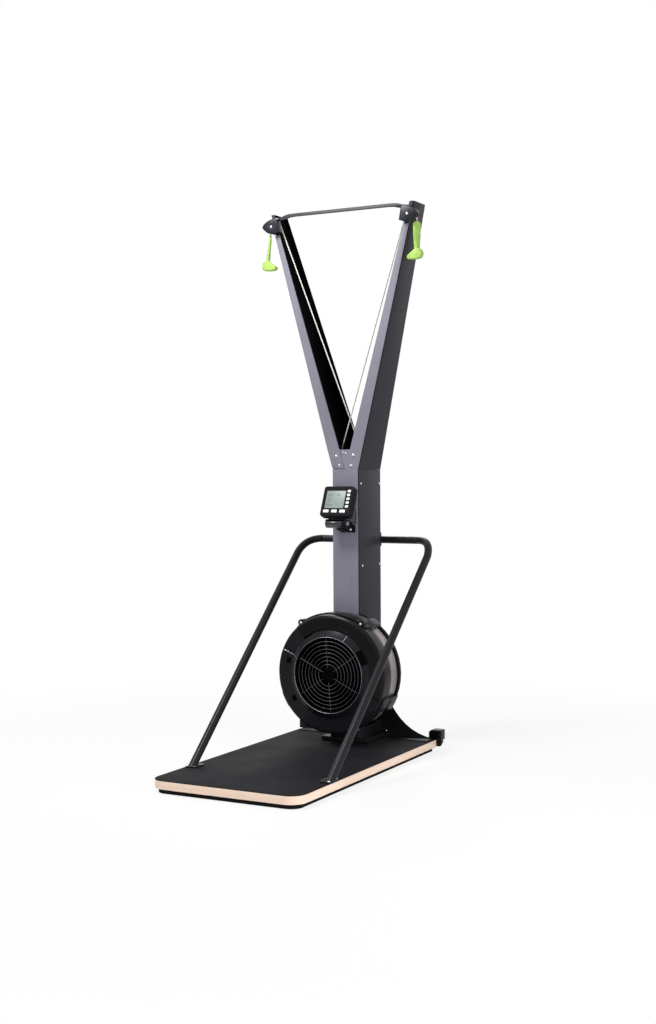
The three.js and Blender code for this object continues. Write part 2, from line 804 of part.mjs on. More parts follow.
// Cross brace: a flat bar behind the arms' front flanges. Its ends turn down and widen towards each arm.
const braceFront = armFront(braceHeight) + frontPlate + seat + armWall + 2 * seat;
const braceEndFoot = braceHeight - braceTall / 2 - braceFootDrop;
const braceEnd = armReach(braceEndFoot) - grooveDepth - armWall - seat;
const braceSection = (x, foot, top) => [
  [x, braceFront, foot], [x, braceFront + braceThickness, foot], [x, braceFront + braceThickness, top],
  [x, braceFront, top]];
const braceBendShares = [[1, 1, 1], [0.6, 0.6, 1], [0.43, 0.21, 0.7], [0.24, 0.04, 0.2], [0, 0, 0]];
const braceStation = (sign) => ([along, top, foot]) => braceSection(
  sign * (braceEnd - braceBendLength * (1 - along)),
  braceHeight - braceTall / 2 - braceFootDrop * foot,
  braceHeight + braceTall / 2 - braceTopDrop * top);
add('cross_brace', loft([
  ...braceBendShares.map(braceStation(-1)),
  ...[...braceBendShares].reverse().map(braceStation(1))],
([, y, z]) => new THREE.Vector2(y, z)), blackSteel);

// Cords. Each is a run of straight stretches with arcs round the wheels that it passes.
const arcPieces = 8;

// Angle at which a cord that runs down over one wheel and on past another leaves them both
function tangentAngle(first, firstRadius, second, secondRadius) {
  const dx = first.x - second.x;
  const dz = first.z - second.z;
  const slant = Math.asin((firstRadius - secondRadius) / Math.hypot(dx, dz));
  return Math.atan2(dz, dx) + Math.PI / 2 - slant;
}
function driveCord(sign) {
  const depth = sign > 0 ? rightCordDepth : leftCordDepth;
  const drumDepth = sign > 0 ? rightDrumCentre : leftDrumCentre;
  const top = vec(headReach, pulleyCentre, headHeight);
  const idler = vec(-idlerSpread, depth, idlerHeight);
  const idlerRing = idlerGroove + cordRadius + 2 * seat;
  const topRing = cordRing + seat;
  const angle = tangentAngle(top, topRing, idler, idlerRing);
  const drumRing = bungeeTrack + seat;
  const route = new Route(vec(dropReach + seat, pulleyCentre, dropTop + seat));
  route.arc(top, topRing, 0, angle, arcPieces);
  route.arc(idler, idlerRing, angle, Math.PI, 2);
  route.arc(vec(0, drumDepth, axleHeight), drumRing, Math.PI, 2 * Math.PI, arcPieces);
  route.lineTo(vec(drumRing, drumDepth, axleHeight + drumCordRise));
  return tubeAlong(route, cordRadius, 6);
}
for (const [side, sign] of sides) add(`drive_cord_${side}`, forSide(sign, driveCord(sign)), braidedCord);

// One bungee joins the tails of both drive cords over the saddle
const bungeeFoot = axleHeight + drumCordRise + seat;
const bungee = new Route(vec(bungeeTrack, rightDrumCentre, bungeeFoot));
bungee.arc(vec(0, bungeeDepth, saddleHeight), bungeeTrack, 0, Math.PI, 2 * arcPieces);
bungee.lineTo(vec(-bungeeTrack, leftDrumCentre, bungeeFoot));
add('return_bungee', tubeAlong(bungee, bungeeRadius, 8), gripRubber);

// Handles: a flat shaft that turns into a round neck, and a foot-shaped end with its toe inward
const handleTop = headHeight - dropStretch;
function shaftSection(share, broad, short) {
  const turn = Math.PI * handleTurnShare;
  return Array.from({ length: 12 }, (_, i) => {
    const angle = (2 * Math.PI * i) / 12;
    const u = (handleShaftBroad * broad * Math.cos(angle)) / 2;
    const v = (handleShaftShort * short * Math.sin(angle)) / 2;
    return [
      u * Math.cos(turn) - v * Math.sin(turn) + handleLeanOut * share,
      u * Math.sin(turn) + v * Math.cos(turn) - handleLeanFront * share,
      -handleLength * share];
  });
}
const shaftShares = [
  [0, 0.42, 0.6], [0.02, 0.74, 0.85], [0.05, 0.94, 1], [0.1, 1, 1], [0.35, 0.93, 1.15], [0.58, 0.76, 1.45],
  [0.72, 0.61, 1.85], [0.84, 0.6, 1.92]];
const shaft = loft(shaftShares.map((shares) => shaftSection(...shares)));
const footShares = [
  [-0.16, 0.98], [-0.38, 0.76], [-0.6, 0.52], [-0.72, 0.34], [-0.73, 0.16], [-0.6, 0.03], [-0.3, 0],
  [0.02, 0.02], [0.25, 0.1], [0.36, 0.32], [0.38, 0.58], [0.3, 0.8], [0.16, 0.98]];
const footSwell = footRounding * footSwellShare;
const footOutline = outlineOf(footShares.map(([u, v]) => [
  footLength * u + Math.sign(-u) * footSwell, footSwell - handleLength + (footTall - footRounding) * v]));
const foot = new THREE.ExtrudeGeometry(footOutline, {
  depth: footThick - 2 * footRounding, bevelEnabled: true, bevelThickness: footRounding,
  bevelSize: footSwell, bevelSegments: 2,
}).rotateX(Math.PI / 2)
  .translate(handleLeanOut, footThick / 2 - footRounding - handleLeanFront + footSetback, 0);
const handleBody = join(shaft, foot);
for (const [side, sign] of sides) {
  const handle = add(`handle_${side}`, forSide(sign, handleBody), greenPlastic);
  handle.position.set(sign * dropReach, pulleyCentre, handleTop);
  const dropLength = dropTop - handleTop - seat;
  const drop = new THREE.CylinderGeometry(cordRadius, cordRadius, dropLength, 8).rotateX(Math.PI / 2)
    .translate(sign * (dropReach + seat), pulleyCentre, dropTop - dropLength / 2);
  add(`drop_cord_${side}`, drop, braidedCord);
}

// Flywheel unit. Everything here turns or sits round one axis along Y.
const spindle = new THREE.Group();
spindle.position.z = axleHeight;
root.add(spindle);
add('flywheel_axle', turned([
  [0, axleFront], [axleRadius, axleFront], [axleRadius, axleCollarFront], [axleCollar, axleCollarFront],
  [axleCollar, axleCollarBack], [axleRadius, axleCollarBack], [axleRadius, axleBack], [0, axleBack]],
grilleSides), brightSteel, spindle);
add('front_bearing', turned([
  [bearingBore, frontBearingFront], [bearingRadius, frontBearingFront], [bearingRadius, channelFront + seat],
  [bearingFlange, channelFront + seat], [bearingFlange, channelFront + seat + bearingFlangeThickness],
  [bearingRadius, channelFront + seat + bearingFlangeThickness], [bearingRadius, frontBearingBack],
  [bearingBore, frontBearingBack], [bearingBore, frontBearingFront]], grilleSides), brightSteel, spindle);
const rearBearingBack = columnBack - columnWall - seat;
add('rear_bearing', turned([
  [bearingBore, rearBearingFront], [bearingRadius, rearBearingFront], [bearingRadius,
    rearBearingBack - flywheelDisc],
  [bearingFlange, rearBearingBack - flywheelDisc], [bearingFlange, rearBearingBack], [bearingBore,
    rearBearingBack],
  [bearingBore, rearBearingFront]], grilleSides), brightSteel, spindle);

const flywheelBore = axleRadius + seat;
const flywheelBody = turned([
  [flywheelBore, flywheelFront], [flywheelHub, flywheelFront], [flywheelHub, flywheelDiscFront],
  [flywheelRadius - flywheelRim, flywheelDiscFront], [flywheelRadius - flywheelRim, flywheelRimFront],
  [flywheelRadius, flywheelRimFront], [flywheelRadius, flywheelDiscFront + flywheelDisc],
  [flywheelHub, flywheelDiscFront + flywheelDisc], [flywheelHub, flywheelBack],
  [flywheelBore, flywheelBack], [flywheelBore, flywheelFront]], cageSides);
const blade = block(around(0, bladeThickness), [flywheelFront, flywheelDiscFront + flywheelDisc / 2],
  [bladeFoot, flywheelRadius - flywheelRim / 2]);
const blades = Array.from({ length: bladeCount }, (_, i) =>
  blade.clone().rotateY((2 * Math.PI * (i + 0.5)) / bladeCount));
add('flywheel', join(flywheelBody, ...blades), meshSteel, spindle);

for (const [side, sign] of sides) {
  const centre = sign > 0 ? rightDrumCentre : leftDrumCentre;
  const [from, to] = around(centre, drumWidth);
  add(`drive_drum_${side}`, turned([
    [axleRadius + seat, from], [drumFlange, from], [drumFlange, from + drumFlangeThickness],
    [drumGroove, from + drumFlangeThickness], [drumGroove, to - drumFlangeThickness],
    [drumFlange, to - drumFlangeThickness], [drumFlange, to], [axleRadius + seat, to],
    [axleRadius + seat, from]], grilleSides), greyPlastic, spindle);
}

// Cage front cover: annulus, cone to the grille and rim. A raised shell with two ears runs over the top,
// and a lug stands at each side clip.
const cageFrontProfile = [
  [cageOpening, cageLip + cageWall], [cageOpening, cageLip], [cageOpening + cageWall, cageLip - cageWall / 2],
  [coneFoot, cageFront], [annulusEdge, cageFront], [annulusFold, cageFront + cageWall],
  [cageRadius, cageFront + rimFold], [cageRadius, cageRimBack], [cageRadius - cageWall, cageRimBack],
  [cageRadius - cageWall, cageFront + rimFold + cageWall], [annulusEdge - cageWall / 2, cageFront + cageWall],
  [coneFoot, cageFront + cageWall], [cageOpening, cageLip + cageWall]];
const frontLugs = sideClipAngles.map((angle) =>
  sector(cageRadius - cageWall / 2, cageRadius + lugHeight, lugFront, cageRimBack, angle, lugSpan));
const shell = sector(cageRadius - cageWall / 2, shellRadius, lugFront, cageRimBack, shellMiddle, shellSpan);
const cageSpace = rod(cageRadius - cageWall / 2, lugFront - overrun, lugFront + earDepth + overrun,
  cageSides);
const ears = earAngles.map((angle) => cut(
  rod(earRadius, lugFront, lugFront + earDepth, grilleSides).translate(0, 0, earReach)
    .rotateY(THREE.MathUtils.degToRad(angle)), cageSpace));
add('cage_front', join(turned(cageFrontProfile, cageSides), ...frontLugs, shell, ...ears),
  blackPlastic, spindle);

// Grille: rings on spokes round a hub disc
const grilleBack = grilleFront + grilleWire;
const ringPitch = (cageOpening - seat - grilleHub) / (grilleRings + 1);
const grilleRingList = Array.from({ length: grilleRings }, (_, i) => {
  const radius = grilleHub + ringPitch * (i + 1);
  return ring(radius - grilleWire / 2, radius + grilleWire / 2, grilleFront, grilleBack, grilleSides);
});
const spokes = Array.from({ length: grilleSpokes / 2 }, (_, i) =>
  block(around(0, grilleWire), [grilleFront + grilleWire / 3, grilleBack], around(0,
    2 * (cageOpening - grilleEdge / 2)))
    .rotateY((2 * Math.PI * i) / grilleSpokes));
const hubDisc = rod(grilleHub, grilleFront - grilleWire, grilleBack + grilleWire, grilleSides);
const grilleRim = ring(cageOpening - seat - grilleEdge, cageOpening - seat, grilleFront,
  grilleBack, cageSides);
add('cage_grille', join(grilleRim, ...spokes, hubDisc, ...grilleRingList), blackPlastic, spindle);

// Cage rear cover: a pan with a rim, recessed round the column, with three straps over the band
const rearPan = turned([
  [0, rearRimBack - cageWall], [rearRimRadius - cageWall, rearRimBack - cageWall],
  [bandRadius + seat, rearRimFront + cageWall], [bandRadius + seat, rearRimFront],
  [rearRimRadius - cageWall / 2, rearRimFront], [rearRimRadius, rearRimFront + cageWall],
  [rearRimRadius, rearRimBack - cageWall], [rearRimRadius - cageWall, rearRimBack], [0,
    rearRimBack]], cageSides);
const recessHalf = columnHalf + seat;
const recessBox = common(
  block([-recessHalf - recessSide, recessHalf + recessSide], [columnFront - seat - recessSide, rearRimBack],
    [-rearRimRadius, rearRimRadius]),
  rod(bandRadius - bandWall - seat, columnFront - seat - recessSide, rearRimBack, cageSides));
const columnSpace = block([-recessHalf, recessHalf], [columnFront - seat, rearRimBack + overrun],
  [-rearRimRadius - overrun, rearRimRadius + overrun]);
const band = ring(bandRadius - bandWall, bandRadius, bandFront, bandBack, cageSides);
add('mesh_band', cut(band, columnSpace), meshSteel, spindle);
const shaftHole = rod(bearingRadius + seat, columnFront - 2 * overrun, rearRimBack + overrun, grilleSides);
const straps = [topClipAngle, ...sideClipAngles].map((angle) =>
  sector(bandRadius + seat, cageRadius + lugHeight, cageRimBack + seat, rearRimFront + cageWall,
    angle, lugSpan));
add('cage_rear', cut(join(rearPan, recessBox, ...straps), columnSpace, shaftHole), blackPlastic, spindle);

// Damper: a band that slides over the perforations, with its lever
const damperInner = bandRadius + 2 * seat;
const damperArc = sector(damperInner, damperInner + damperWall, damperFront, damperBack,
  (damperStart + damperEnd) / 2, damperEnd - damperStart);
const damperLever = sector(damperInner + damperWall / 2, leverRadius, damperFront, damperBack,
  damperEnd - leverSpan / 2, leverSpan);
add('damper_band', join(damperArc, damperLever), greyPlastic, spindle);

// Base bracket: flared upright sheet with its foot on the deck, open round the column
const flareCurve = new THREE.QuadraticBezierCurve(
  new THREE.Vector2(flareWidth, flareTop), new THREE.Vector2(flareBendReach, flareBendHeight),
  new THREE.Vector2(flareReach, onDeck + flarePlate));
const flareEdge = flareCurve.getPoints(flareSteps).map(({ x, y }) => [x, y]);
const flareOutline = outlineOf([
  ...flareEdge, [flareReach, onDeck], [-flareReach, onDeck],
  ...[...flareEdge].reverse().map(flip)]);
const flareSheet = facingFront(flareOutline, flareBack - flarePlate, flarePlate);
const flareFoot = block([-flareReach, flareReach], [flareBack - flareFootDepth, flareBack],
  [onDeck, onDeck + flarePlate]);
const plinth = block([-plinthReach, plinthReach], [plinthFront, flareBack], [onDeck, onDeck + plinthHeight]);
const columnPassage = block([-recessHalf, recessHalf], [columnFront - seat, columnBack + overrun],
  [onDeck - overrun, flareTop + overrun]);
const footSideLow = columnFront - saddleBlockGap + seat;
const footSides = facingSide(outlineOf([
  [footSideLow, onDeck], [flareBack, onDeck], [flareBack, footSideTop],
  [footSideFront, footSideTop], [footSideFront, footSideStep], [footSideLow, footSideStep]]),
-recessHalf - recessSide, 2 * (recessHalf + recessSide));
add('base_bracket', cut(join(flareSheet, flareFoot, plinth, footSides), columnPassage), blackSteel);

// Cage support: a block on the plinth, hollowed to the cage's rim
const saddleTop = axleHeight - cageRadius + saddleBlockDepth;
const saddleBlock = block(around(0, saddleBlockWidth),
  [columnFront - saddleBlockGap - saddleBlockDepth, columnFront - saddleBlockGap],
  [onDeck + plinthHeight + seat, saddleTop]);
const rimSpace = rod(cageRadius + seat, cageFront, rearRimBack, cageSides).translate(0, 0, axleHeight);
add('cage_support', cut(saddleBlock, rimSpace), blackSteel);

// Support tube: two legs from the deck up to shoulders, and a bar behind the column
const tubeShoulder = (sign) => vec(sign * tubeShoulderReach, tubeShoulderDepth, tubeShoulderHeight);
const tubeCorner = (sign) => vec(sign * tubeCornerReach, tubeCornerDepth, tubeCornerHeight);
const legLean = (tubeShoulderDepth - tubeFootDepth) / (tubeShoulderHeight - deckTop);
const tubeFoot = (sign) => vec(sign * tubeFootReach, tubeFootDepth - legLean * tubeBurial,
  deckTop - tubeBurial);
const tubeRoute = new Route(tubeFoot(-1))
  .lineTo(tubeShoulder(-1))
  .bendTo(tubeCorner(-1), vec(-tubeBarReach, tubeBarDepth, tubeBarHeight), tubeBendPieces)
  .lineTo(vec(tubeBarReach, tubeBarDepth, tubeBarHeight))
  .bendTo(tubeCorner(1), tubeShoulder(1), tubeBendPieces)
  .lineTo(tubeFoot(1));
const belowFlanges = block([-deckWidth, deckWidth], [-deckRear, deckRear],
  [-deckRear, onDeck + tubeFlangeThickness / 2]);
const tubeFlanges = sides.map(([, sign]) => forSide(sign, facingUp(roundedOutline(
  [deckHalf - matInset - tubeFlangeWidth, deckHalf - matInset],
  around(tubeFootDepth, tubeFlangeLength), tubeFlangeRounding), onDeck, tubeFlangeThickness)));
const tubeBody = cut(tubeAlong(tubeRoute, tubeRadius, tubeSides), belowFlanges);
add('support_tube', join(tubeBody, ...tubeFlanges), darkPaint);
const clampBore = alongX(rod(tubeRadius + seat, -clampWidth, clampWidth, grilleSides))
  .translate(0, tubeBarDepth, tubeBarHeight);
add('tube_clamp', cut(
  block(around(0, clampWidth), [columnBack + seat, clampBack], around(tubeBarHeight, clampTall)),
    clampBore), blackSteel);

// Transport wheels behind the deck's rear corners, each in a hood with its axle
function hoodBody() {
  const [left, right] = around(wheelReach, hoodWidth);
  const front = deckRear + seat;
  const shape = new THREE.Shape();
  shape.moveTo(left, hoodFoot);
  shape.lineTo(right, hoodFoot);
  shape.absarc(right - hoodRounding / 3, hoodTop - hoodRounding / 3, hoodRounding / 3, 0, Math.PI / 2);
  shape.absarc(left + hoodRounding, hoodTop - hoodRounding, hoodRounding, Math.PI / 2, Math.PI);
  const outer = facingFront(shape, front, hoodBack - front);
  const [wheelLeft, wheelRight] = around(wheelReach, wheelWidth + 2 * hoodSideGap);
  const inner = block([wheelLeft, wheelRight], [front + hoodWall, hoodBack + overrun],
    [hoodFoot - overrun, hoodTop - hoodGap]);
  const cheekDepth = around(wheelDepth, cheekLength);
  const cheeks = [[wheelLeft - hoodCheek, wheelLeft], [wheelRight, wheelRight + hoodCheek]].map((reach) =>
    block(reach, cheekDepth, [wheelHeight - cheekLength / 2, hoodFoot + overrun]));
  const pin = alongX(rod(wheelPin, wheelLeft - hoodCheek / 2, wheelRight + hoodCheek / 2, grilleSides))
    .translate(0, wheelDepth, wheelHeight);
  return join(cut(outer, inner), ...cheeks, pin);
}
const wheelBody = () => alongX(turned([
  [wheelBore, -wheelWidth / 2], [wheelRadius - wheelShoulder, -wheelWidth / 2],
  [wheelRadius, wheelShoulder - wheelWidth / 2], [wheelRadius, wheelWidth / 2 - wheelShoulder],
  [wheelRadius - wheelShoulder, wheelWidth / 2], [wheelBore, wheelWidth / 2],
  [wheelBore, -wheelWidth / 2]], grilleSides));
for (const [side, sign] of sides) {
  add(`wheel_hood_${side}`, forSide(sign, hoodBody()), blackPlastic);
  const wheel = add(`transport_wheel_${side}`, wheelBody(), gripRubber);
  wheel.position.set(sign * wheelReach, wheelDepth, wheelHeight);
}

// Monitor, in its own frame: x across, y into the housing, z up the face
const monitor = new THREE.Group();
monitor.position.set(0, monitorFootDepth, monitorFootHeight);
monitor.rotation.x = -THREE.MathUtils.degToRad(monitorLean);
root.add(monitor);

const buttonPlaces = [
  ...Array.from({ length: 5 }, (_, i) =>
    [`side_button_${i + 1}`, sideButtonReach, sideButtonTop - sideButtonPitch * i, sideButtonWidth,
      sideButtonTall]),
  ...Array.from({ length: 3 }, (_, i) =>
    [`lower_button_${i + 1}`, lowButtonLeft + lowButtonPitch * i, lowButtonHeight, lowButtonWidth,
      lowButtonTall])];
const buttonPocket = buttonThickness - buttonProud + buttonTravel + buttonGap;
const pockets = buttonPlaces.map(([, x, z, width, tall]) => facingFront(
  roundedOutline(around(x, width + 2 * buttonGap), around(z, tall + 2 * buttonGap), buttonRounding),
  -overrun, overrun + buttonPocket));
const screenPocket = block([screenLeft, screenRight], [-overrun, screenThickness + 2 * seat],
  [screenBottom, screenTop]);
const housing = new THREE.ExtrudeGeometry(
  roundedOutline([monitorBevel - monitorWidth / 2, monitorWidth / 2 - monitorBevel],
    [monitorFoot + monitorBevel, monitorHead - monitorBevel], monitorCorner), {
    depth: monitorThickness - 2 * monitorBevel, bevelEnabled: true, bevelThickness: monitorBevel,
    bevelSize: monitorBevel, bevelSegments: 1, curveSegments: 4,
  }).rotateX(Math.PI / 2).translate(0, monitorThickness - monitorBevel, 0);
add('monitor_housing', cut(housing, screenPocket, ...pockets), greyPlastic, monitor);
add('monitor_screen', block([screenLeft + seat, screenRight - seat], [seat, seat + screenThickness],
  [screenBottom + seat, screenTop - seat]), screenGlass, monitor);
for (const [name, x, z, width, tall] of buttonPlaces) {
  const cap = facingFront(roundedOutline(around(0, width), around(0, tall), buttonRounding),
    -buttonProud, buttonThickness);
  add(name, cap, whiteRubber, monitor).position.set(x, 0, z);
}

// Hinge barrel with the neck that carries the housing
const hinge = vec(0, hingeDepth, hingeHeight);
monitor.updateMatrix();
const hingeInMonitor = hinge.clone().sub(monitor.position).applyEuler(new THREE.Euler(-monitor.rotation.x, 0, 0));
const barrel = alongX(rod(barrelRadius, barrelLeft, barrelRight, grilleSides))
  .translate(0, hingeInMonitor.y, hingeInMonitor.z);
const stemBore = alongX(rod(knobStem + stemGap, barrelRight - stemReach - seat, barrelRight + overrun, 12))
  .translate(0, hingeInMonitor.y, hingeInMonitor.z);
const neckBack = monitorThickness + seat;
const neck = join(
  block([neckLeft, neckRight], [neckBack, neckBack + neckPlate], [neckDrop, neckTall]),
  block([neckLeft, neckRight], [neckBack, hingeInMonitor.y], [-barrelRadius / 3, neckThick]));
add('hinge_barrel', cut(join(barrel, neck), stemBore), blackPlastic, monitor);

// Fixed bracket: an ear beside the barrel, and a wedge back to the column's front plate
const bracketSeat = columnFront - seat;
const earFrom = barrelRight + barrelEndGap;
const ear = alongX(rod(barrelRadius, earFrom, earFrom + earThickness, grilleSides)).translate(0,
  hingeDepth, hingeHeight);
const earArm = facingSide(outlineOf([
  [hingeDepth, hingeHeight - barrelRadius], [bracketSeat, wedgeFootBottom],
  [bracketSeat, hingeHeight], [hingeDepth, hingeHeight + barrelRadius]]), earFrom, earThickness);
const wedge = facingSide(outlineOf([
  [hingeDepth, hingeHeight - barrelRadius - overrun], [bracketSeat, wedgeFootBottom],
  [bracketSeat, wedgeFootTop], [hingeDepth, hingeHeight - barrelRadius]]), wedgeLeft, earFrom - wedgeLeft);
const wedgeFoot = block([wedgeLeft - wedgePlate, wedgeFootReach], [bracketSeat - wedgePlate, bracketSeat],
  [wedgeFootBottom, wedgeFootTop]);
const barrelSpace = alongX(rod(barrelRadius + 2 * seat, barrelLeft, earFrom, grilleSides))
  .translate(0, hingeDepth, hingeHeight);
const earHole = alongX(rod(knobStem + stemGap, earFrom - overrun, earFrom + earThickness + overrun, 12))
  .translate(0, hingeDepth, hingeHeight);
add('monitor_bracket', cut(join(ear, earArm, wedge, wedgeFoot), barrelSpace, earHole), blackSteel);
const knobFrom = earFrom + earThickness + seat;
add('hinge_knob', join(
  alongX(rod(knobRadius, knobFrom, knobFrom + knobLength, 16)),
  alongX(rod(knobStem, barrelRight - stemReach, knobFrom + knobLength / 2, 12))), greyPlastic)
  .position.set(0, hingeDepth, hingeHeight);

// Signal cable from the housing's back, past the bracket's foot and into the column's front plate
const cableStart = vec(cableReach, monitorThickness + seat, cableExit).applyMatrix4(monitor.matrix);
const cableNormal = vec(0, 1, 0).applyEuler(monitor.rotation);
const cableLift = cableStart.clone().addScaledVector(cableNormal, cableLead);
const cableEnd = vec(cableEndReach, bracketSeat, cableEndHeight);
const cablePath = new THREE.CubicBezierCurve3(cableLift,
  cableStart.clone().addScaledVector(cableNormal, cableSlack),
  cableEnd.clone().add(vec(overrun, -cableLead, cableSlack)), cableEnd.clone().add(vec(0, -cableLead, 0)));
const cableRoute = new Route(cableStart);
cableRoute.points.push(...cablePath.getPoints(cablePieces));
cableRoute.lineTo(cableEnd);
add('monitor_cable', tubeAlong(cableRoute, cableRadius, 8), blackPlastic);

export default root;
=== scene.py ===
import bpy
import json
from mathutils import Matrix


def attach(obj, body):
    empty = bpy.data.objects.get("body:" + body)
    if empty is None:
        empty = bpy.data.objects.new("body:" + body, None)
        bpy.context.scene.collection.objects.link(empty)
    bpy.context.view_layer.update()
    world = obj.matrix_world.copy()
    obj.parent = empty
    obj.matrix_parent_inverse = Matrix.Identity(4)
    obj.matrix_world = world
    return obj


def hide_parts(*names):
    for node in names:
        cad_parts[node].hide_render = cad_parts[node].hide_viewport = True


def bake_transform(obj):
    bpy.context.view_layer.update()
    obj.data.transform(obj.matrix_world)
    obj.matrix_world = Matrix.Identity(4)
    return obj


bl_info = {
    "name": "Ski trainer machine",
    "version": (1, 0, 0),
    "blender": (4, 5, 0),
    "location": "3D View > Sidebar > Ski Trainer",
    "description": "Dresses the packed frame of a ski trainer machine",
    "category": "Add Mesh",
}

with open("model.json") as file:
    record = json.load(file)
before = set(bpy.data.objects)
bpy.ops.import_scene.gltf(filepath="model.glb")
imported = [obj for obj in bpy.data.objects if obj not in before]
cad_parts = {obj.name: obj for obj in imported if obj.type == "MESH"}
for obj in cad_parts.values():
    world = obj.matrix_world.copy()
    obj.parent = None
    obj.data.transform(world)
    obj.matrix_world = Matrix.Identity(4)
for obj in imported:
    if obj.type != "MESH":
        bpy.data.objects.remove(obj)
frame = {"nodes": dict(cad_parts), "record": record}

import json
import math

import bmesh
import bpy
from bpy.props import FloatProperty, FloatVectorProperty, IntProperty, PointerProperty
from mathutils import Matrix, Vector

MM = 0.001
MIDDLE = 579.5  # the machine's middle, in millimetres behind the deck's front edge
AXLE_HEIGHT = 328.0  # the flywheel's axis above the floor
HEAD_REACH, HEAD_HEIGHT, PULLEY_DEPTH = 296.6, 2078.0, 899.0  # the top pulleys
CORD_REACH = 320.3  # the drop cords' place beside the middle
ARM_FOOT, ARM_RISE = 1116.0, 1013.5  # the arms' lower end above the floor, and how far they rise
SCREW_ANGLES = (-35, 32)  # the cage's ears, in degrees from the top
SIDES = (("left", -1), ("right", 1))
FRONT, RIGHT, LEFT, UP = (0, -1, 0), (1, 0, 0), (-1, 0, 0), (0, 0, 1)

BODY_OF = {node: body for body, nodes in frame["record"]["behaviour"]["bodies"].items() for node in nodes}
SLOT_OF = {part["node"]: part["material_slot"] for part in frame["record"]["subparts"]}


def spot(x, depth, height):
    """A place in metres, from millimetres right of the middle, behind the front edge and above the floor."""
    return Vector((x, depth - MIDDLE, height)) * MM


def round_axle(radius, depth, degrees):
    """The point at a radius and an angle from the top, at a depth, round the flywheel's axis."""
    angle = math.radians(degrees)
    return spot(radius * math.sin(angle), depth, AXLE_HEIGHT + radius * math.cos(angle))


def linear(code):
    """The scene-linear colour of an sRGB hex code."""
    parts = [int(code[i:i + 2], 16) / 255 for i in (1, 3, 5)]
    return tuple(c / 12.92 if c <= 0.04045 else ((c + 0.055) / 1.055) ** 2.4 for c in parts) + (1.0,)


# Settings that a user may change

class TrainerSizes(bpy.types.PropertyGroup):
    """Sizes of the visual details"""
    edge: FloatProperty(name="Edge rounding", description="Radius on sheet-metal edges", default=0.0009,
                        unit='LENGTH')
    moulded_edge: FloatProperty(name="Moulded edge", description="Radius on plastic edges", default=0.0012,
                                unit='LENGTH')
    turned_edge: FloatProperty(name="Turned edge", description="Radius on pulleys, drums and bearings",
                               default=0.0006, unit='LENGTH')
    screw: FloatProperty(name="Screw head", description="Radius of the large screw heads", default=0.0062,
                         unit='LENGTH')
    wire: FloatProperty(name="Grille wire", description="Thickness of the grille's rings", default=0.0026,
                        unit='LENGTH')
    rings: IntProperty(name="Grille rings", description="Rings between the hub and the rim", default=7)
    hole_pitch: FloatProperty(name="Hole pitch", description="Distance between the band's perforations",
                              default=0.005, unit='LENGTH')
    blades: IntProperty(name="Blades", description="Blades of the flywheel", default=18)
    braid: FloatProperty(name="Braid pitch", description="Length of one braid stitch", default=0.0035,
                         unit='LENGTH')


class TrainerColours(bpy.types.PropertyGroup):
    """Main colours"""
    # The front plates' lighter colour is partly their own tone and partly painted light where they face the
    # lamps; the channels' darker colour is likewise partly painted shade
    front: FloatVectorProperty(name="Front plates", description="Powder coat of the front plates", size=4,
                               subtype='COLOR', default=linear("#827f8c"))
    side: FloatVectorProperty(name="Channels", description="Powder coat of the channels", size=4,
                              subtype='COLOR', default=linear("#343239"))
    handle: FloatVectorProperty(name="Handles", description="Moulded handles", size=4,
                                subtype='COLOR', default=linear("#a3c75c"))
    wood: FloatVectorProperty(name="Deck edge", description="Birch plywood", size=4,
                              subtype='COLOR', default=linear("#ffe6d2"))


# Materials

def adder(tree):
    """The function that adds a node with its settings to a tree, and fills its inputs or links them."""
    def add(kind, inputs=None, **settings):
        node = tree.nodes.new(kind)
        for name, value in settings.items():
            setattr(node, name, value)
        for socket, value in (inputs or {}).items():
            if isinstance(value, bpy.types.Node):
                value = value.outputs[0]
            if isinstance(value, bpy.types.NodeSocket):
                tree.links.new(value, node.inputs[socket])
            else:
                node.inputs[socket].default_value = value
        return node
    return add


def blank_material(name):
    """A named material, the function that adds its nodes, and the object coordinates."""
    material = bpy.data.materials.new(name)
    material.use_nodes = True
    material.node_tree.nodes.clear()
    add = adder(material.node_tree)
    return material, add, add("ShaderNodeTexCoord").outputs["Object"]


def faded(colour, share):
    """A share of a colour's light."""
    return [c * share for c in colour[:3]] + [1.0]


def two_tone(add, pattern, first, second, most=1.0, start=0.3, end=0.7):
    """A mix that goes from one colour towards another as a pattern goes from start to end."""
    share = add("ShaderNodeMapRange", {"Value": pattern, "From Min": start, "From Max": end, "To Max": most})
    return add("ShaderNodeMix", {0: share, 6: first, 7: second}, data_type='RGBA').outputs[2]


def finished(material, add, values, colour, gloss=None, bump=None):
    """Ends a material in its shader, with a roughness and a bump that follow its patterns."""
    values = {**values, "Base Color": colour}
    if gloss:
        pattern, low, high = gloss
        values["Roughness"] = add("ShaderNodeMapRange", {"Value": pattern, "From Min": 0.3, "From Max": 0.7,
                                                         "To Min": low, "To Max": high})
    if bump:
        height, strength, depth = bump
        values["Normal"] = add("ShaderNodeBump", {"Height": height, "Strength": strength, "Distance": depth})
    add("ShaderNodeOutputMaterial", {"Surface": add("ShaderNodeBsdfPrincipled", values)})
    return material


def powder_coat(name, colour, gloss, shine=0.14):
    """Baked powder coat on steel: an even satin with a faint orange peel, 1.6 mm from swell to swell."""
    material, add, place = blank_material(name)
    peel = add("ShaderNodeTexNoise", {"Vector": place, "Scale": 1 / 0.0016, "Detail": 1.0})
    drift = add("ShaderNodeTexNoise", {"Vector": place, "Scale": 1 / 0.22})
    return finished(material, add, {"IOR": 1.5, "Specular IOR Level": shine},
                    two_tone(add, drift, faded(colour, 0.88), colour), (drift, gloss - 0.04, gloss + 0.05),
                    (peel, 0.12, 0.0001))


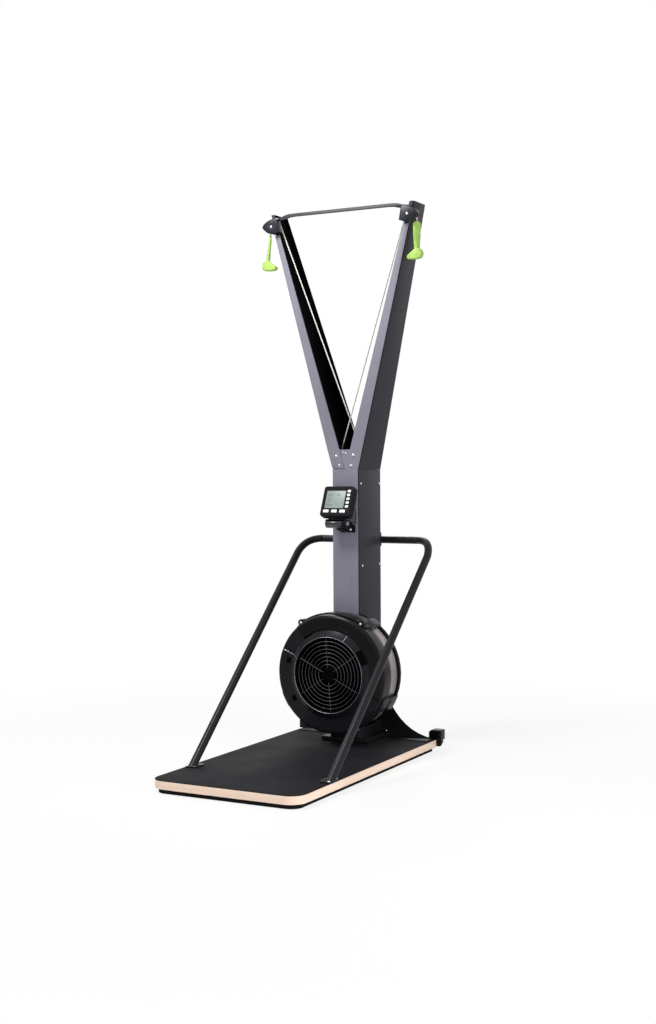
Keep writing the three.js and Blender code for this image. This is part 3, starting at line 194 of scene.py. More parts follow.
def moulded_abs(name, colour, gloss, texture=0.04, shine=0.16):
    """Injection-moulded ABS: glossy, with slow sink waves 30 mm apart and a fine mould grain."""
    material, add, place = blank_material(name)
    waves = add("ShaderNodeTexNoise", {"Vector": place, "Scale": 1 / 0.03, "Detail": 1.0})
    grain = add("ShaderNodeTexNoise", {"Vector": place, "Scale": 1 / 0.0009})
    both = add("ShaderNodeMath", {0: grain, 1: waves}, operation='ADD')
    return finished(material, add, {"IOR": 1.53, "Specular IOR Level": shine},
                    two_tone(add, waves, faded(colour, 0.8), colour), (grain, gloss - 0.03, gloss + 0.05),
                    (both, texture, 0.0004))


def moulded_rubber(name, colour, pebble):
    """Cured rubber: dull, with a pebbled skin that scatters light."""
    material, add, place = blank_material(name)
    stones = add("ShaderNodeTexVoronoi", {"Vector": place, "Scale": 1 / pebble})
    wear = add("ShaderNodeTexNoise", {"Vector": place, "Scale": 1 / 0.12, "Detail": 3.0})
    dusty = [c * 1.35 + 0.002 for c in colour[:3]] + [1.0]
    return finished(material, add, {"IOR": 1.52, "Specular IOR Level": 0.05},
                    two_tone(add, wear, colour, dusty), (wear, 0.66, 0.8), (stones, 0.35, 0.0004))


def birch_plywood(name, colour):
    """Lacquered birch plywood: its edge shows thin stripes, as every second ply is end grain.

    A pale and a warm ply together are 2.5 mm, and a band texture repeats every tau / 20 at scale 1.
    """
    material, add, place = blank_material(name)
    plies = add("ShaderNodeTexWave", {"Vector": place, "Scale": math.tau / 20 / 0.0025145, "Distortion": 0.4,
                                      "Detail": 1.0}, wave_type='BANDS', bands_direction='Z')
    stretch = add("ShaderNodeMapping", {"Vector": place, "Scale": (12.0, 12.0, 500.0)})
    fibres = add("ShaderNodeTexNoise", {"Vector": stretch, "Scale": 1 / 0.1, "Detail": 4.0, "Roughness": 0.6})
    warm = [colour[0] * 0.86, colour[1] * 0.77, colour[2] * 0.69, 1.0]
    striped = two_tone(add, plies.outputs["Fac"], colour, warm, 0.55, 0.35, 0.9)
    return finished(material, add, {"IOR": 1.5, "Coat Weight": 0.25, "Coat Roughness": 0.2},
                    two_tone(add, fibres, striped, warm, 0.3), (fibres, 0.38, 0.5), (fibres, 0.15, 0.0003))


def turned_steel(name, colour, gloss):
    """Machined or plated steel: bright metal with fine tool marks 0.7 mm apart."""
    material, add, place = blank_material(name)
    stretch = add("ShaderNodeMapping", {"Vector": place, "Scale": (1.0, 6.0, 1.0)})
    marks = add("ShaderNodeTexNoise", {"Vector": stretch, "Scale": 1 / (6 * 0.0007), "Detail": 3.0})
    return finished(material, add, {"Metallic": 1.0}, two_tone(add, marks, faded(colour, 0.8), colour),
                    (marks, gloss - 0.06, gloss + 0.08), (marks, 0.1, 0.0001))


def braided_polyester(name, colour, shade):
    """Braided polyester cord: two sets of strands cross along it. The pattern follows the cord's own map."""
    material, add, _ = blank_material(name)
    along = add("ShaderNodeUVMap", uv_map="Run")
    apart = add("ShaderNodeSeparateXYZ", {"Vector": along}).outputs
    strands = []
    for slope in (4.0, -4.0):
        slant = add("ShaderNodeMath", {0: apart["X"], 1: slope, 2: apart["Y"]}, operation='MULTIPLY_ADD')
        turn = add("ShaderNodeMath", {0: slant, 1: math.tau}, operation='MULTIPLY')
        strands.append(add("ShaderNodeMath", {0: turn}, operation='SINE'))
    weave = add("ShaderNodeMath", {0: strands[0], 1: strands[1]}, operation='MAXIMUM')
    values = {"IOR": 1.5, "Sheen Weight": 0.3, "Sheen Roughness": 0.4, "Roughness": 0.75}
    # The gaps between strands take the shade colour: painted shade in the braid's grooves
    return finished(material, add, values, two_tone(add, weave, shade, colour, 1.0, -0.6, 0.8),
                    bump=(weave, 0.6, 0.0005))


def display_window(name, colour):
    """Reflective display behind a clear polycarbonate window: a soft grey-green with a glossy coat."""
    material, add, place = blank_material(name)
    cells = add("ShaderNodeTexNoise", {"Vector": place, "Scale": 1 / 0.02})
    return finished(material, add, {"IOR": 1.58, "Coat Weight": 0.3, "Coat Roughness": 0.3, "Roughness": 0.6},
                    two_tone(add, cells, faded(colour, 0.9), colour))


def silicone(name, colour):
    """Moulded silicone keys: white, soft and slightly translucent at the edges."""
    material, add, place = blank_material(name)
    grain = add("ShaderNodeTexNoise", {"Vector": place, "Scale": 1 / 0.0012})
    return finished(material, add, {"IOR": 1.43, "Subsurface Weight": 0.15, "Subsurface Scale": 0.002},
                    two_tone(add, grain, faded(colour, 0.94), colour), (grain, 0.42, 0.55),
                    (grain, 0.1, 0.0002))


def make_materials(colours):
    """Every finish on the machine, by a maker's name."""
    return {
        # Front plates and channels: the lighter front coat is partly painted light, the darker channel coat
        # partly painted shade
        "front paint": powder_coat("Powder coat silver violet", colours.front, 0.38),
        "side paint": powder_coat("Powder coat anthracite", colours.side, 0.45),
        "tube paint": powder_coat("Powder coat graphite", linear("#1c1b20"), 0.3, 0.16),
        "brace paint": powder_coat("Powder coat grey", linear("#313134"), 0.3),
        "black paint": powder_coat("Powder coat black", linear("#0c0c0f"), 0.42),
        # Near-black matte: the grille hub and rim's own black, and painted shade in the channel grooves,
        # channel insides and cage patches
        "matte black and painted shade": powder_coat("Matte black and painted shade", linear("#030304"), 0.75, 0.03),
        "gloss black": moulded_abs("ABS gloss black", linear("#07070a"), 0.2, shine=0.4),
        "barrel black": moulded_abs("ABS blue black", linear("#06090f"), 0.1, 0.01, 0.9),
        "satin black": moulded_abs("ABS satin black", linear("#09090b"), 0.24, shine=0.14),
        "cover black": moulded_abs("ABS cover charcoal", linear("#19181d"), 0.3, shine=0.12),
        "head slate": moulded_abs("ABS head slate", linear("#1b1c25"), 0.3),
        "monitor black": moulded_abs("ABS monitor charcoal", linear("#131317"), 0.5, shine=0.06),
        "grey nylon": moulded_abs("Nylon grey", linear("#4c4b50"), 0.4),
        "light nylon": moulded_abs("Nylon light grey", linear("#85868b"), 0.35),
        "green handle": moulded_abs("Polypropylene lime", colours.handle, 0.38, 0.03, 0.35),
        "mat rubber": moulded_rubber("Rubber deck mat", linear("#17171a"), 0.0022),
        "black rubber": moulded_rubber("Rubber black", linear("#141416"), 0.0014),
        "plywood": birch_plywood("Birch plywood lacquered", colours.wood),
        "zinc": turned_steel("Steel zinc plated", linear("#e2e3e6"), 0.25),
        "shaft steel": turned_steel("Steel turned", linear("#b9babd"), 0.28),
        "grille wire": turned_steel("Steel wire black chrome", linear("#5a5a60"), 0.34),
        "trim steel": turned_steel("Steel trim bright black", linear("#8a8a92"), 0.3),
        "band steel": turned_steel("Steel perforated satin", linear("#b9b2b0"), 0.45),
        # Flywheel near black: partly the fan's own dark steel, partly painted shade from inside the cage
        "fan steel": turned_steel("Steel dark, with painted cage shade", linear("#101012"), 0.5),
        "cream cord": braided_polyester("Polyester braid cream", linear("#f4f1e9"), linear("#cfc8b8")),
        "black cord": braided_polyester("Polyester braid black", linear("#2c2c2f"), linear("#0e0e10")),
        "cable": moulded_abs("PVC cable black", linear("#121214"), 0.35),
        "display": display_window("Display window", linear("#7f8e86")),
        "segment": moulded_abs("Display segment", linear("#66756b"), 0.45),
        "keys": silicone("Silicone white", linear("#f1f1f1")),
    }


FINISH = {}  # the materials by their maker's names, filled by main


# Meshes

def add_piece(name, mesh, finish, node=None, body=None, slot=None, stretch=None):
    """Puts a finished mesh in the scene in its material: on its body, or with its place baked into the mesh
    where a stretch is given.
    """
    mesh.materials.clear()
    mesh.materials.append(FINISH[finish])
    piece = bpy.data.objects.new(name, mesh)
    bpy.context.scene.collection.objects.link(piece)
    if stretch:
        first, second, start, end = stretch
        tuple(start)
        tuple(end)
        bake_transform(piece)
    else:
        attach(piece, body or BODY_OF[node])
    slot or SLOT_OF[node]
    if node:
        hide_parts(node)
    return piece


def to_mesh(work, name):
    """A mesh from a bmesh, with its faces turned outwards."""
    bmesh.ops.recalc_face_normals(work, faces=work.faces)
    mesh = bpy.data.meshes.new(name)
    work.to_mesh(mesh)
    work.free()
    return mesh


def smoothed(mesh, degrees=35):
    """The mesh, shaded smooth over edges up to an angle."""
    mesh.shade_smooth()
    mesh.set_sharp_from_angle(angle=math.radians(degrees))
    return mesh


def baked(mesh, modifiers=(), degrees=35, tree=None, values=None):
    """The mesh with a geometry tree and modifiers applied, shaded smooth over edges up to an angle."""
    holder = bpy.data.objects.new("holder", mesh)
    bpy.context.scene.collection.objects.link(holder)
    if tree:
        modifier = holder.modifiers.new(tree.name, 'NODES')
        modifier.node_group = tree
        for item in tree.interface.items_tree:
            if item.in_out == 'INPUT' and item.name in values:
                modifier[item.identifier] = values[item.name]
    for kind, settings in modifiers:
        modifier = holder.modifiers.new(kind, kind)
        for name, value in settings.items():
            setattr(modifier, name, value)
    depsgraph = bpy.context.evaluated_depsgraph_get()
    result = bpy.data.meshes.new_from_object(holder.evaluated_get(depsgraph), depsgraph=depsgraph)
    bpy.data.objects.remove(holder)
    return smoothed(result, degrees)


def rounding(width, angle=32, segments=3):
    """Bevel settings for edges sharper than an angle."""
    return ("BEVEL", {"width": width, "segments": segments, "limit_method": 'ANGLE',
                      "angle_limit": math.radians(angle), "use_clamp_overlap": True})


def merged_copy(node):
    """A CAD node's mesh with its corners joined and its flat faces whole."""
    mesh = frame["nodes"][node].data.copy()
    work = bmesh.new()
    work.from_mesh(mesh)
    bmesh.ops.remove_doubles(work, verts=work.verts, dist=0.00001)
    bmesh.ops.dissolve_limit(work, angle_limit=math.radians(0.5), verts=work.verts, edges=work.edges)
    work.to_mesh(mesh)
    work.free()
    return mesh


def dress(node, finish, width):
    """A solid with rounded edges stands for the CAD node."""
    return add_piece(f"{node}_finished", baked(merged_copy(node), [rounding(width)]), finish, node)


def paint_faces(piece, finish, chosen):
    """Gives a second finish to the faces whose centre, in machine millimetres, is chosen."""
    piece.data.materials.append(FINISH[finish])
    for face in piece.data.polygons:
        x, depth, height = face.center / MM
        if chosen(x, depth + MIDDLE, height):
            face.material_index = 1


def lofted(rings, closed=False):
    """A bmesh skin over rings of points, which runs on into its start or ends in two flat faces."""
    work = bmesh.new()
    rows = [[work.verts.new(point) for point in ring] for ring in rings]
    for first, second in zip(rows, rows[1:] + (rows[:1] if closed else [])):
        for i in range(len(first)):
            k = (i + 1) % len(first)
            work.faces.new((first[i], first[k], second[k], second[i]))
    if not closed:
        work.faces.new(rows[0])
        work.faces.new(rows[-1])
    return work


def turned(profile, segments=96, edge=0.0, start=0.0, end=360.0):
    """A closed profile of (radius, depth) in mm, turned round the flywheel's axis.

    Angles are in degrees from the top towards +X, and anything short of a full turn gets two flat ends.
    """
    full = end - start >= 360
    angles = [start + (end - start) * i / segments for i in range(segments if full else segments + 1)]
    work = lofted([[round_axle(radius, depth, angle) for radius, depth in profile] for angle in angles], full)
    bmesh.ops.remove_doubles(work, verts=work.verts, dist=0.000001)
    return baked(to_mesh(work, "turned"), [rounding(edge, 30)] if edge else [])


def sector(inner, outer, front, back, start, end, steps, edge):
    """Part of a ring with a rectangular section."""
    return turned([(inner, front), (outer, front), (outer, back), (inner, back)], steps, edge, start, end)


def joined(meshes):
    """One mesh from several."""
    work = bmesh.new()
    for mesh in meshes:
        work.from_mesh(mesh)
    result = bpy.data.meshes.new("joined")
    work.to_mesh(result)
    work.free()
    return smoothed(result)


def moved(mesh, matrix):
    """The mesh, turned and moved by a matrix."""
    mesh.transform(matrix)
    return mesh


def on_axle(depth):
    """Moves a shape from the origin to the flywheel's axis, at a depth in millimetres."""
    return Matrix.Translation(spot(0.0, depth, AXLE_HEIGHT))


def swept(points, radius, sides, pitch):
    """A round tube along points, with a map named Run: once round in X and one pitch in Y."""
    points = [p for i, p in enumerate(points) if i == 0 or (p - points[i - 1]).length > 1e-6]
    tangents = [(points[min(i + 1, len(points) - 1)] - points[max(i - 1, 0)]).normalized()
                for i in range(len(points))]
    side = tangents[0].orthogonal().normalized()
    turns = [math.tau * k / sides for k in range(sides)]
    rings, travel = [], [0.0]
    for i, (point, tangent) in enumerate(zip(points, tangents)):
        side = (side - tangent * side.dot(tangent)).normalized()
        up = tangent.cross(side)
        rings.append([point + radius * (side * math.cos(turn) + up * math.sin(turn)) for turn in turns])
        if i:
            travel.append(travel[-1] + (point - points[i - 1]).length)
    work = lofted(rings)
    run = work.loops.layers.uv.new("Run")
    for i, face in enumerate(list(work.faces)[:-2]):
        row, k = divmod(i, sides)
        corners = ((k, row), (k + 1, row), (k + 1, row + 1), (k, row + 1))
        for loop, (across, along) in zip(face.loops, corners):
            loop[run].uv = (across / sides, travel[along] / pitch)
    return smoothed(to_mesh(work, "swept"), 50)


def arc_points(centre, radius, start, end, pieces):
    """Points in millimetres on an arc round an axis along the depth."""
    return [Vector((centre[0] + radius * math.cos(a), centre[1], centre[2] + radius * math.sin(a)))
            for a in (start + (end - start) * i / pieces for i in range(pieces + 1))]


def bezier(corners, pieces):
    """Points on a Bezier curve."""
    route = []
    for t in (i / pieces for i in range(pieces + 1)):
        row = list(corners)
        while len(row) > 1:
            row = [a * (1 - t) + b * t for a, b in zip(row, row[1:])]
        route += row
    return route


# Geometry Nodes

def new_tree(name, **labels):
    """A geometry tree with named inputs of each kind, the function that adds its nodes, and its inputs."""
    tree = bpy.data.node_groups.new(name, 'GeometryNodeTree')
    labels = {"Geometry": ("Geometry",), **labels, "Material": ("Material",)}
    for kind, group in labels.items():
        for label in group:
            tree.interface.new_socket(label, in_out='INPUT', socket_type=f"NodeSocket{kind}")
    tree.interface.new_socket("Geometry", in_out='OUTPUT', socket_type='NodeSocketGeometry')
    add = adder(tree)
    return tree, add, add("NodeGroupInput").outputs


def close_tree(add, source, geometry):
    """Ends a tree in Realize Instances and Set Material."""
    real = add("GeometryNodeRealizeInstances", {"Geometry": geometry})
    painted = add("GeometryNodeSetMaterial", {"Geometry": real, "Material": source["Material"]})
    add("NodeGroupOutput", {"Geometry": painted})


def grown(tree, values, modifiers=(), start=None):
    """The plain mesh that a geometry tree makes, from a start mesh where it needs one."""
    return baked(start or bpy.data.meshes.new("start"), modifiers, tree=tree, values=values)


def screw_head():
    """A button head with a hexagon socket and a radius of 1, standing on the XY plane."""
    turns = [math.tau * i / 24 for i in range(24)]
    flats = [math.cos(math.pi / 6) / math.cos(turn % (math.pi / 3) - math.pi / 6) for turn in turns]
    rise = 0.62
    rings = []
    for share, height, socket in ((1.0, 0.0, False), (1.0, 0.25, False), (0.93, 0.62, False),
                                  (0.78, 0.88, False), (0.6, 1.0, False), (0.42, 1.0, True),
                                  (0.4, 0.35, True)):
        reaches = [share * (flat if socket else 1.0) for flat in flats]
        rings.append([(reach * math.cos(turn), reach * math.sin(turn), rise * height)
                      for reach, turn in zip(reaches, turns)])
    return smoothed(to_mesh(lofted(rings), "screw head"), 40)


def screw_tree():
    """Screw heads on points, each turned to the way its point faces."""
    tree, add, source = new_tree("Screws on points", Object=("Head",), Float=("Size",))
    head = add("GeometryNodeObjectInfo", {"Object": source["Head"]})
    facing = add("GeometryNodeInputNamedAttribute", {"Name": "facing"}, data_type='FLOAT_VECTOR')
    turn = add("FunctionNodeAlignRotationToVector", {"Vector": facing}, axis='Z')
    places = add("GeometryNodeMeshToPoints", {"Mesh": source["Geometry"]})
    heads = add("GeometryNodeInstanceOnPoints", {"Points": places, "Instance": head.outputs["Geometry"],
                                                 "Rotation": turn, "Scale": source["Size"]})
    close_tree(add, source, heads)
    return tree


def add_screws(name, places, size):
    """Screw heads of one size on the frame. Each place is a point in mm and the way its head faces."""
    start = bpy.data.meshes.new(name)
    start.from_pydata([spot(*point) for point, _ in places], [], [])
    facing = start.attributes.new("facing", 'FLOAT_VECTOR', 'POINT')
    for i, (_, way) in enumerate(places):
        facing.data[i].vector = way
    head = bpy.data.objects.new("head", screw_head())
    bpy.context.scene.collection.objects.link(head)
    tree = bpy.data.node_groups.get("Screws on points") or screw_tree()
    mesh = grown(tree, {"Head": head, "Size": size, "Material": FINISH["zinc"]}, start=start)
    bpy.data.objects.remove(head)
    add_piece(name, mesh, "zinc", body="frame", slot="bright_steel")


# Pieces

class AddStage(bpy.types.Operator):
    """Floor, lamps, world and camera"""
    bl_idname = "trainer.add_stage"
    bl_label = "Stage"

    def execute(self, context):
        scene = context.scene
        scene.view_settings.view_transform = 'Standard'
        floor = bpy.data.meshes.new("floor")
        reach, level = 30.0, -0.0005
        floor.from_pydata([(-reach, -reach, level), (reach, -reach, level), (reach, reach, level),
                           (-reach, reach, level)], [], [(0, 1, 2, 3)])
        ground = bpy.data.objects.new("studio_floor", floor)
        scene.collection.objects.link(ground)
        material, add, place = blank_material("Paper backdrop white")
        fibres = add("ShaderNodeTexNoise", {"Vector": place, "Scale": 1 / 0.4})
        white = add("ShaderNodeMix", {0: fibres, 6: linear("#f7f7f7"), 7: linear("#fbfbfb")},
                    data_type='RGBA')
        paper = add("ShaderNodeBsdfPrincipled", {"Base Color": white.outputs[2], "Roughness": 0.9})
        glow = add("ShaderNodeEmission", {"Color": (1, 1, 1, 1), "Strength": 1.0})
        seen = add("ShaderNodeLightPath").outputs["Is Camera Ray"]
        distance = add("ShaderNodeVectorMath", {0: place}, operation='LENGTH').outputs["Value"]
        share = add("ShaderNodeMapRange", {"Value": distance, "From Min": 1.0, "From Max": 2.4, "To Min": 0.8,
                                           "To Max": 1.0})
        share = add("ShaderNodeMath", {0: seen, 1: share}, operation='MULTIPLY')
        mixed = add("ShaderNodeMixShader", {0: share, 1: paper, 2: glow})
        add("ShaderNodeOutputMaterial", {"Surface": mixed})
        floor.materials.append(material)

        world = bpy.data.worlds.new("Studio")
        scene.world = world
        world.use_nodes = True
        world.node_tree.nodes.clear()
        add = adder(world.node_tree)
        rays = add("ShaderNodeLightPath").outputs
        seen = rays["Is Camera Ray"]
        for ray in ("Is Glossy Ray", "Is Transmission Ray"):
            seen = add("ShaderNodeMath", {0: seen, 1: rays[ray]}, operation='MAXIMUM')
        soft = add("ShaderNodeBackground", {"Color": (0.96, 0.97, 1.0, 1), "Strength": 0.2})
        white = add("ShaderNodeBackground", {"Color": (1, 1, 1, 1), "Strength": 1.0})
        add("ShaderNodeOutputWorld", {"Surface": add("ShaderNodeMixShader", {0: seen, 1: soft, 2: white})})

        for name, place, aim, size, power in (
                ("key_lamp", (-0.7, -1.1, 3.1), (0.0, 0.3, 1.1), 0.9, 58.0),
                ("front_lamp", (-1.7, -2.4, 2.4), (0.0, 0.3, 0.8), 0.5, 10.0),
                ("side_lamp", (3.3, -1.4, 1.3), (0.0, 0.3, 0.9), 2.0, 78.0),
                ("rear_lamp", (-1.8, 3.4, 3.2), (0.0, 0.2, 1.0), 2.0, 60.0)):
            light = bpy.data.lights.new(name, 'AREA')
            light.shape = 'DISK'
            light.size = size
            light.energy = power
            lamp = bpy.data.objects.new(name, light)
            lamp.location = place
            lamp.rotation_euler = (Vector(aim) - Vector(place)).to_track_quat('-Z', 'Y').to_euler()
            scene.collection.objects.link(lamp)

        lens = bpy.data.cameras.new("camera")
        lens.lens = 49.73
        lens.sensor_width = 36.0
        camera = bpy.data.objects.new("camera", lens)
        scene.collection.objects.link(camera)
        azimuth, dip, roll = math.radians(28.36), math.radians(1.78), -0.006
        turn = (Matrix.Rotation(azimuth, 4, 'Z') @ Matrix.Rotation(math.pi / 2 - dip, 4, 'X')
                @ Matrix.Rotation(roll, 4, 'Z'))
        camera.matrix_world = Matrix.Translation((2.571, -4.570, 1.123)) @ turn
        scene.camera = camera
        return {'FINISHED'}


class AddDeck(bpy.types.Operator):
    """Plywood board, rubber mat and the foot strips"""
    bl_idname = "trainer.add_deck"
    bl_label = "Deck"

    def execute(self, context):
        dress("deck_board", "plywood", 0.0012)
        dress("deck_mat", "mat rubber", 0.0008)
        for end in ("left", "right", "front"):
            dress(f"foot_rail_{end}", "black rubber", 0.003)
        return {'FINISHED'}


def inside_arm(x, depth, height):
    """True for the groove beside an arm's front strip, and for the inside of its channel: the faces that get
    painted shade.
    """
    along = (height - ARM_FOOT) / ARM_RISE
    reach, front, back = 55 + 258 * along, 915 - 31 * along, 1115 - 123 * along
    groove = front + 3 < depth < front + 9.8 and abs(x) > reach - 3.6 and height < 2050
    hollow = front + 5.5 < depth < back - 2.5 and abs(x) < reach - 5.5
    return groove or hollow


def beside_front_plate(x, depth, _):
    """True for the groove between the column's front plate and its channel: the faces that get a painted
    shadow gap.
    """
    return 918 < depth < 924.6 and abs(x) > 51.5


class AddColumn(bpy.types.Operator):
    """Column, arms, their light front strips, the junction bracket and the brace"""
    bl_idname = "trainer.add_column"
    bl_label = "Column and arms"

    def execute(self, context):
        sizes = context.scene.trainer_sizes
        dress("column_front", "front paint", sizes.edge)
        dress("arm_strip_left", "front paint", sizes.edge)
        # Grooves and channel insides get the matte black as painted shade
        for node, chosen in (("column_channel", beside_front_plate), ("arm_channel_left", inside_arm),
                             ("arm_channel_right", inside_arm)):
            paint_faces(dress(node, "side paint", sizes.edge), "matte black and painted shade", chosen)
        dress("junction_bracket", "black paint", sizes.edge)
        dress("cross_brace", "brace paint", sizes.edge)
        add_screws("junction_screws", [((-36.5, 913.2, 1169.3), FRONT), ((37.2, 913.2, 1172.9), FRONT),
                                       ((-25.2, 914.5, 1132.0), FRONT), ((26.4, 914.5, 1131.6), FRONT)],
                   sizes.screw)
        add_screws("junction_pins", [((-7.2, 912.7, 1183.8), FRONT), ((4.3, 912.8, 1180.6), FRONT)], 0.0035)
        beside = ((941.9, 1061.8), (1104.0, 1059.6), (952.9, 738.6), (1104.0, 737.8))
        add_screws("column_side_screws", [((x, *place), way) for x, way in ((-55.0, LEFT), (55.0, RIGHT))
                                          for place in beside], sizes.screw * 0.8)
        return {'FINISHED'}


class AddHeads(bpy.types.Operator):
    """Head plates, housings and top pulleys, and the idler pulleys in the junction"""
    bl_idname = "trainer.add_heads"
    bl_label = "Heads and pulleys"

    def execute(self, context):
        sizes = context.scene.trainer_sizes
        for side, _ in SIDES:
            dress(f"head_plate_{side}", "head slate", sizes.moulded_edge)
            dress(f"head_housing_{side}", "gloss black", 0.004)
            dress(f"top_pulley_{side}", "grey nylon", sizes.turned_edge)
            dress(f"idler_pulley_{side}", "grey nylon", sizes.turned_edge)
        add_screws("head_screws", [((sign * HEAD_REACH, 862.0, HEAD_HEIGHT), FRONT) for _, sign in SIDES],
                   sizes.screw * 0.8)
        return {'FINISHED'}


DRUM_DEPTHS = {1: 955.0, -1: 992.0}
DRUM_RING = 43.1  # from the axle to the middle of the cord on a drum
CORD_TAIL = 500.0  # where the drive cords end and the bungee starts


def drive_route(sign):
    """The drive cord's route in millimetres: over the top pulley, past the idler and round the drum."""
    top = (HEAD_REACH, PULLEY_DEPTH, HEAD_HEIGHT)
    idler = (-27.0, 966.0 if sign > 0 else 978.0, 1176.0)
    top_ring, idler_ring = 23.7, 18.6
    rise, run = top[2] - idler[2], top[0] - idler[0]
    angle = math.atan2(rise, run) + math.pi / 2 - math.asin((top_ring - idler_ring) / math.hypot(run, rise))
    points = [Vector((CORD_REACH, PULLEY_DEPTH, 2072.45)),
              *arc_points(top, top_ring, 0.0, angle, 20),
              *arc_points(idler, idler_ring, angle, math.pi, 6),
              *arc_points((0.0, DRUM_DEPTHS[sign], AXLE_HEIGHT), DRUM_RING, math.pi, math.tau, 24),
              Vector((DRUM_RING, DRUM_DEPTHS[sign], CORD_TAIL))]
    return [spot(sign * p.x, p.y, p.z) for p in points]


class AddCords(bpy.types.Operator):
    """Drive cords, the return bungee and the drop cords above the handles"""
    bl_idname = "trainer.add_cords"
    bl_label = "Cords"

    def execute(self, context):
        pitch = context.scene.trainer_sizes.braid
        radius, top, length, pieces = 0.0025, 2072.15, 18.85, 12
        heights = [top - length * i / pieces for i in range(pieces + 1)]
        for side, sign in SIDES:
            add_piece(f"drive_cord_braided_{side}", swept(drive_route(sign), radius, 12, pitch), "cream cord",
                      f"drive_cord_{side}")
            steps = [spot(sign * CORD_REACH, PULLEY_DEPTH, height) for height in heights]
            add_piece(f"drop_cord_braided_{side}", swept(steps, radius, 12, pitch), "cream cord",
                      f"drop_cord_{side}", stretch=("frame", f"handle_{side}", steps[0], steps[-1]))
        radius, reach, foot = 0.004, 42.8, CORD_TAIL + 0.3
        loop = [Vector((reach, DRUM_DEPTHS[1], foot)),
                *arc_points((0.0, 973.5, 1000.0), reach, 0.0, math.pi, 32),
                Vector((-reach, DRUM_DEPTHS[-1], foot))]
        mesh = swept([spot(*p) for p in loop], radius, 16, pitch * 1.4)
        add_piece("return_bungee_braided", mesh, "black cord", "return_bungee")
        return {'FINISHED'}


def between(stations, share):
    """The values at a share of the way, read off the stations on either side of it."""
    for low, high in zip(stations, stations[1:]):
        if share <= high[0]:
            part = (share - low[0]) / (high[0] - low[0])
            return [a + (b - a) * part for a, b in zip(low[1:], high[1:])]
    return stations[-1][1:]


def rounded_loop(points, steps):
    """A closed loop through the points, on a Catmull-Rom curve."""
    loop = []
    for i in range(len(points)):
        a, b, c, d = (Vector(points[(i + k) % len(points)]) for k in (-1, 0, 1, 2))
        for t in (j / steps for j in range(steps)):
            loop.append((b * 2 + (c - a) * t + (a * 2 - b * 5 + c * 4 - d) * t ** 2
                         + (b * 3 - a - c * 3 + d) * t ** 3) / 2)
    return loop


# A handle's shaft as shares of its length, breadth and thickness, and the outline of its foot
SHAFT = ((0, 0.42, 0.6), (0.02, 0.74, 0.85), (0.05, 0.94, 1), (0.1, 1, 1.05), (0.35, 0.93, 1.15),
         (0.58, 0.76, 1.4), (0.72, 0.64, 1.6), (0.9, 0.62, 1.8))
FOOT = ((0.16, 0.98), (0.3, 0.8), (0.38, 0.58), (0.36, 0.32), (0.25, 0.1), (0.02, 0.02), (-0.3, 0),
        (-0.6, 0.03), (-0.73, 0.16), (-0.72, 0.34), (-0.6, 0.52), (-0.38, 0.76), (-0.16, 0.98))


def handle_solid(sign):
    """A flat shaft over a foot with its toe inward, as two closed solids that overlap."""
    top, length, breadth, thickness, lean = 2053, 145, 18, 5.5, (8, -16.6)
    slant, ways = math.radians(60), [math.tau * k / 36 for k in range(36, 0, -1)]
    rings = []
    for share in (SHAFT[-1][0] * (i / 36) ** 1.3 for i in range(37)):
        broad, short = between(SHAFT, share)
        ring = []
        for way in ways:
            u, v = breadth * broad * math.cos(way), thickness * short * math.sin(way)
            x = CORD_REACH + u * math.cos(slant) - v * math.sin(slant) + lean[0] * share
            depth = PULLEY_DEPTH + u * math.sin(slant) + v * math.cos(slant) + lean[1] * share
            ring.append(spot(sign * x, depth, top - length * share))
        rings.append(ring)
    shaft = to_mesh(lofted(rings), "shaft")
    heel, width, height, front, back = CORD_REACH + 8, 57, 40.5, PULLEY_DEPTH - 24, PULLEY_DEPTH
    faces = [[spot(sign * (heel + width * u), depth, top - length + height * v)
              for u, v in rounded_loop(FOOT, 6)] for depth in (front, back)]
    return joined([shaft, baked(to_mesh(lofted(faces), "foot"), [rounding(0.006, 40, 5)])])


class AddHandles(bpy.types.Operator):
    """Moulded handles, with the shaft and the foot melted into one"""
    bl_idname = "trainer.add_handles"
    bl_label = "Handles"

    def execute(self, context):
        for side, sign in SIDES:
            mesh = baked(handle_solid(sign), [
                ("REMESH", {"mode": 'VOXEL', "voxel_size": 0.0009, "use_smooth_shade": True}),
                ("SMOOTH", {"factor": 0.5, "iterations": 10})], 180)
            add_piece(f"handle_moulded_{side}", mesh, "green handle", f"handle_{side}")
        return {'FINISHED'}


